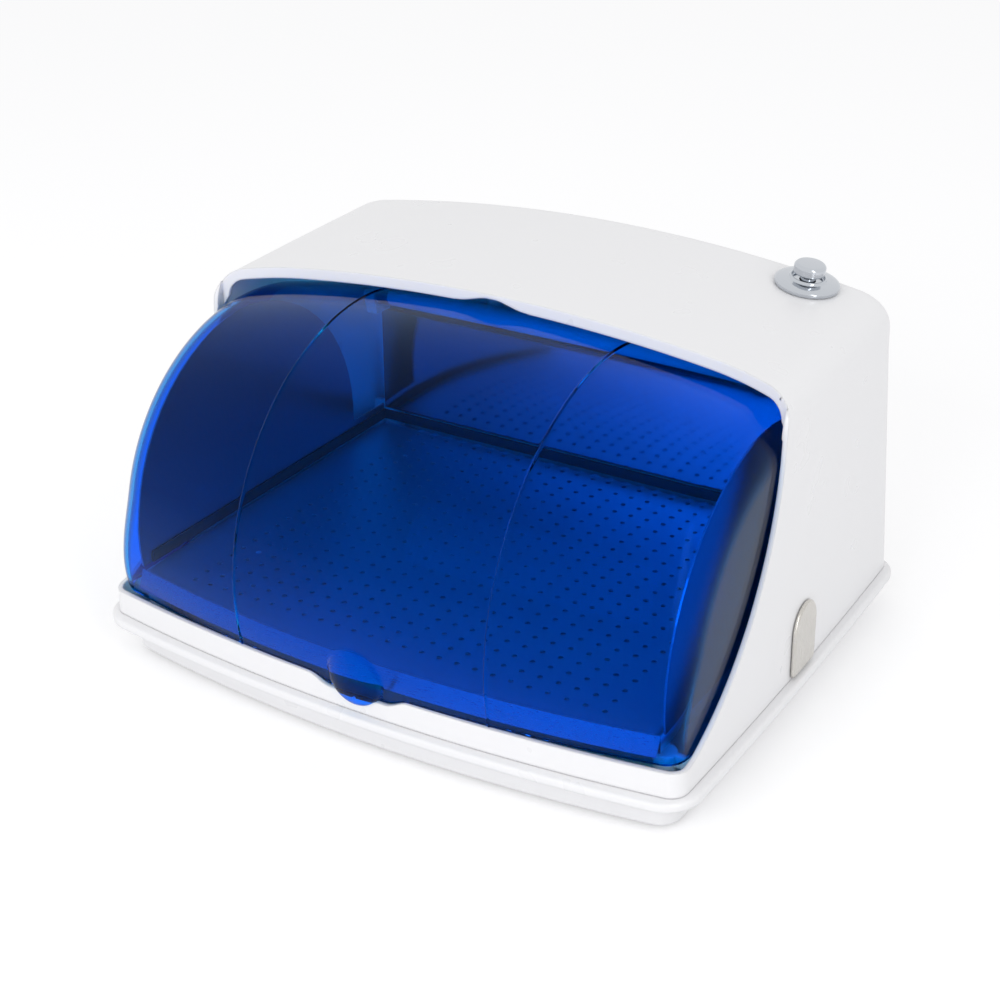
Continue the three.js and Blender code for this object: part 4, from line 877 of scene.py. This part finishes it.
welded(grid_floor)
centres = np.array([face.center for face in grid_floor.data.polygons]) / mm
lip_in_painted_shade = centres[:, 1] < floor_front(centres[:, 0]) + lip_run
grid_floor.data.polygons.foreach_set("use_smooth", (centres[:, 2] < floor_top - 0.01) & ~lip_in_painted_shade)
thickened = grid_floor.modifiers.new("sheet", "SOLIDIFY")
thickened.thickness = floor_sheet * mm
thickened.offset = -1


def bright_steel(name, brushed, colour):
    """Bright annealed stainless steel, as rolled: between a mirror and satin, with a faint haze drawn out
    along the rolling direction."""
    made, tree = blank_material(name)
    haze = grain(tree, 3.0, 3.0, drawn=(25, 900, 900))
    roughness = spread(tree, haze, brushed * 0.6, brushed * 1.4)
    normal = relief(tree, haze, 0.02, 0.0001)
    surface(tree, [("Roughness", roughness), ("Normal", normal)], Base_Color=linear(colour), Metallic=1.0)
    return made


rolled = bright_steel("bright rolled stainless steel", 0.1, "#92969C")
satin = bright_steel("satin stainless steel", 0.4, "#EEF0F2")
# The dull steel serves the cheeks. On the floor's front lip, its darker colour is painted shade.
dull_steel_and_lip_shade = bright_steel("dull rolled stainless steel", 0.3, "#A9ADB2")
covered(grid_floor.data, satin, dull_steel_and_lip_shade)
# The lip's faces take the darker steel as painted shade, and the rest of the floor stays satin.
grid_floor.data.polygons.foreach_set("material_index", lip_in_painted_shade.astype(np.int32))
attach(grid_floor, "cabinet")
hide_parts("chamber_floor")

# Rear panel: one bright sheet behind the floor, with rounded hems folded back along its top and foot. It
# stands a little over the floor, so that air can rise behind it.
panel_front = 115.85
panel_low = 59.0
panel_high = 130.0
panel_half = 158.6
hem_rear = 119.6
hem_sheet = 0.9
hem_radius = 1.6
hem_turn = np.radians(np.linspace(180, 270, 7))
hem_unit = np.stack([np.cos(hem_turn), np.sin(hem_turn)], 1)
hem_centre = np.array([panel_front + hem_radius, panel_low + hem_radius])
hem_end = [(hem_rear, panel_low), (hem_rear, panel_low + hem_sheet)]
hem_inside = hem_centre + (hem_radius - hem_sheet) * hem_unit[::-1]
hem = np.concatenate([hem_centre + hem_radius * hem_unit, hem_end, hem_inside])
panel_outline = np.concatenate([hem, hem[::-1] * (1, -1) + (0, panel_low + panel_high)])
panel_mesh = extruded("bright_rear_panel", panel_outline, 0, -panel_half, panel_half)
panel = shown("bright_rear_panel", panel_mesh)
smoothed(panel)
covered(panel.data, rolled)
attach(panel, "cabinet")
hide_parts("rear_panel")

# Chamber cheeks: the side liners keep their solids. They are cut from a duller sheet than the rear panel, so
# that they don't glare beside the floor.
for name in ("chamber_cheek_left", "chamber_cheek_right"):
    covered(frame["nodes"][name].data, dull_steel_and_lip_shade)

# Shade strip: a black strip round three sides of the floor. It is painted shade for the gaps between the
# floor and the feet of the cheeks and of the rear panel.
shade_strip_low = 52.25
shade_strip_high = 58.8
shade_strip_half = 158.9
shade_strip_front = -112.0
shade_strip_rear = 115.6
shade_strip_round = 0.5
shade_strip_turn = np.radians(np.linspace(0, 180, 7))
shade_strip_top = [(shade_strip_round * (1 - math.cos(a)), shade_strip_high - shade_strip_round * (1 - math.sin(a))) for a in shade_strip_turn]
shade_strip_section = [(0.0, shade_strip_low), *shade_strip_top, (2 * shade_strip_round, shade_strip_low)]
shade_strip_corners = (
    (-shade_strip_half, shade_strip_front, 1, 0),
    (-shade_strip_half, shade_strip_rear, 1, -1),
    (shade_strip_half, shade_strip_rear, -1, -1),
    (shade_strip_half, shade_strip_front, -1, 0),
)
shade_strip_rings = [
    [(x + in_x * step, y + in_y * step, z) for step, z in shade_strip_section] for x, y, in_x, in_y in shade_strip_corners
]
# This black strip stands in as painted shade in the gaps along the floor's edges.
shade_strip = shown("floor_shade_strip", lofted("floor_shade_strip", shade_strip_rings))


def painted_shade_black():
    """Dull black for the painted shade strip, with a fine noise that varies its sheen."""
    made, tree = blank_material("black painted shade strip")
    bloom = grain(tree, 220.0, 4.0)
    roughness = spread(tree, bloom, 0.55, 0.8)
    normal = relief(tree, bloom, 0.1, 0.0001)
    surface(tree, [("Roughness", roughness), ("Normal", normal)], Base_Color=linear("#1E1F22"))
    return made


covered(shade_strip.data, painted_shade_black())
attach(shade_strip, "cabinet")

# Button: a dished ring and a round push button on the roof, pressed from brass and chrome plated. The cap
# has a thin brim and a groove under it, and stands in the ring's collar.


def turned(name, section):
    """A form turned about the button's axis, from a section that ends on the axis or closes on itself."""
    rings = roof_rings(section, 96)
    return solid_mesh(name, rings.reshape(-1, 3), ring_faces(*rings.shape[:2])[2])


def rounded_section(points, radius, steps=4):
    """A section whose inner corners are replaced by small quadratic curves of a size."""
    points = np.asarray(points, float)
    out = [points[0]]
    for before, here, beyond in zip(points[:-2], points[1:-1], points[2:]):
        one = before - here
        two = beyond - here
        size_one = min(radius, np.linalg.norm(one) / 2.1)
        size_two = min(radius, np.linalg.norm(two) / 2.1)
        start = here + one / np.linalg.norm(one) * size_one
        end = here + two / np.linalg.norm(two) * size_two
        t = np.linspace(0, 1, steps + 1)[:, None]
        out.extend((1 - t) ** 2 * start + 2 * (1 - t) * t * here + t**2 * end)
    out.append(points[-1])
    return np.array(out)


collar = [(10.2, 4.4), (9.9, 5.6), (9.2, 5.8), (8.9, 5.4), (8.9, 3.4), (4.3, 3.4), (4.3, 0.3)]
dish = [(4.3, 0.3), (17.3, 0.3), (17.6, 1.1), (17.6, 2.6), (16.4, 3.4), (13.7, 4.0)]
ring_section = rounded_section(dish + collar, 0.5)
stem = [(0.01, -10), (4.0, -10), (4.0, 7.3)]
brim = [(8.3, 7.3), (8.6, 7.8), (8.6, 11.6), (7.5, 12.9), (0.01, 13.0)]
cap_section = rounded_section(stem + brim, 0.7)


def chrome_plate():
    """Bright chrome over polished brass: a clean mirror, a little cool, with faint wiping marks."""
    made, tree = blank_material("chrome plated brass")
    roughness = spread(tree, grain(tree, 420.0, 4.0), 0.06, 0.16)
    surface(tree, [("Roughness", roughness)], Base_Color=linear("#C2C6CC"), Metallic=1.0)
    return made


chrome = chrome_plate()
for name, section, body, replaced in (
    ("button_ring", ring_section, "cabinet", "button_bezel"),
    ("push_button", cap_section, "power_button", "button_cap"),
):
    piece = smoothed(welded(shown(name, turned(name, section))), 40)
    covered(piece.data, chrome)
    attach(piece, body)
    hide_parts(replaced)

# Side plate: a thumb plate pressed from nickel silver, arched at its top, with a rolled-over edge. It lies on
# the right cheek just over the seam and leans with the wall's draft.
plate_half = 14.2
plate_height = 39.8
plate_corner = 3.0
plate_edge = 1.7
plate_roll = 1.6
plate_proud = 2.1
plate_x = 177.05
plate_y = 8.0
plate_low = 26.95
plate_lean = math.radians(side_draft)


def plate_ring(inset, proud):
    """The plate's outline set in by a distance, at a height over the wall: two small corners at the foot and
    half a circle at the top, turned by the wall's draft."""
    half = plate_half - inset
    corner = plate_corner - inset * 0.8
    spring = plate_height - plate_half
    turn = np.radians(np.linspace(0, 180, 49))
    top = np.stack([half * np.cos(turn), spring + half * np.sin(turn)], 1)
    corners = []
    for middle, start in ((corner - half, 180), (half - corner, 270)):
        quarter = np.radians(np.linspace(start, start + 90, 9))
        unit = np.stack([np.cos(quarter), np.sin(quarter)], 1)
        corners.append(np.array([middle, inset + corner]) + corner * unit)
    ring = np.concatenate([top, *corners])
    x = plate_x + proud * math.cos(plate_lean) - ring[:, 1] * math.sin(plate_lean)
    z = plate_low + proud * math.sin(plate_lean) + ring[:, 1] * math.cos(plate_lean)
    return np.stack([x, plate_y + ring[:, 0], z], 1)


plate_rings = [plate_ring(0.4, 0.0), plate_ring(0.0, 0.3)]
for a in np.radians(np.linspace(0, 90, 9)):
    proud = plate_proud - plate_roll * (1 - math.sin(a))
    plate_rings.append(plate_ring(plate_edge * (1 - math.cos(a)), proud))
plate_rings += [plate_ring(inset, plate_proud) for inset in (2.0, 2.4)]
thumb_plate = shown("thumb_plate", lofted("thumb_plate", plate_rings))
smoothed(thumb_plate, 40)


def nickel_silver():
    """Nickel silver rubbed upright with a fine pad: a warm grey metal whose gloss is drawn out into short
    upright strokes."""
    made, tree = blank_material("rubbed nickel silver")
    strokes = grain(tree, 1.0, 3.0, drawn=(1500, 1500, 60))
    tone = node(tree, "ShaderNodeMix", [(0, strokes)], data_type="RGBA")
    tone.inputs[6].default_value = linear("#BDBAB4")
    tone.inputs[7].default_value = linear("#D2CFCA")
    roughness = spread(tree, strokes, 0.18, 0.34)
    normal = relief(tree, strokes, 0.1, 0.00005)
    links = [("Roughness", roughness), ("Normal", normal), ("Base Color", tone.outputs[2])]
    surface(tree, links, Metallic=1.0)
    return made


covered(thumb_plate.data, nickel_silver())
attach(thumb_plate, "cabinet")
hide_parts("side_clip")

# Remaining pieces keep their solids: turned and stamped fixings, the lamp, its sockets and the supply under
# the floor. Each gets the finish of what it is made of.


def plain_finish(name, colour, roughness, metallic, scale):
    """A plain finish with a fine grain in its gloss and a faint bump, at a scale in cycles per metre."""
    made, tree = blank_material(name)
    fine = grain(tree, scale, 3.0)
    gloss = spread(tree, fine, roughness * 0.8, min(roughness * 1.2, 1.0))
    normal = relief(tree, fine, 0.1, 0.0001)
    surface(tree, [("Roughness", gloss), ("Normal", normal)], Base_Color=linear(colour), Metallic=metallic)
    return made


# A soft grey shine on the plated fixings, dull black feet, half-matt black and cream mouldings, a brighter
# shine on the lamp's caps, and a glassy pale tube.
zinc = plain_finish("zinc plated steel", "#A9ADB2", 0.35, 1.0, 900.0)
rubber = plain_finish("moulded black rubber", "#2A2B2D", 0.8, 0.0, 1500.0)
black_nylon = plain_finish("black glass-filled nylon", "#1B1C1E", 0.5, 0.0, 1500.0)
nylon = plain_finish("natural nylon", "#E6E3DA", 0.5, 0.0, 1200.0)
aluminium = plain_finish("pressed aluminium", "#BFC3C8", 0.3, 1.0, 900.0)
quartz = plain_finish("clear quartz tube", "#E4ECF4", 0.08, 0.0, 300.0)
finish_of = {
    "white_plastic": white_abs,
    "zinc_steel": zinc,
    "rubber": rubber,
    "black_plastic": black_nylon,
    "nylon": nylon,
    "aluminium": aluminium,
    "lamp_glass": quartz,
    "bright_steel": rolled,
    "chrome": chrome,
}
dressed = {"base_tray", "upper_housing", "door_shell", "chamber_floor", "button_bezel", "button_cap"}
dressed |= {"rear_panel", "chamber_cheek_left", "chamber_cheek_right", "side_clip"}
for part in frame["record"]["subparts"]:
    if part["node"] not in dressed:
        covered(frame["nodes"][part["node"]].data, finish_of[part["material_slot"]])
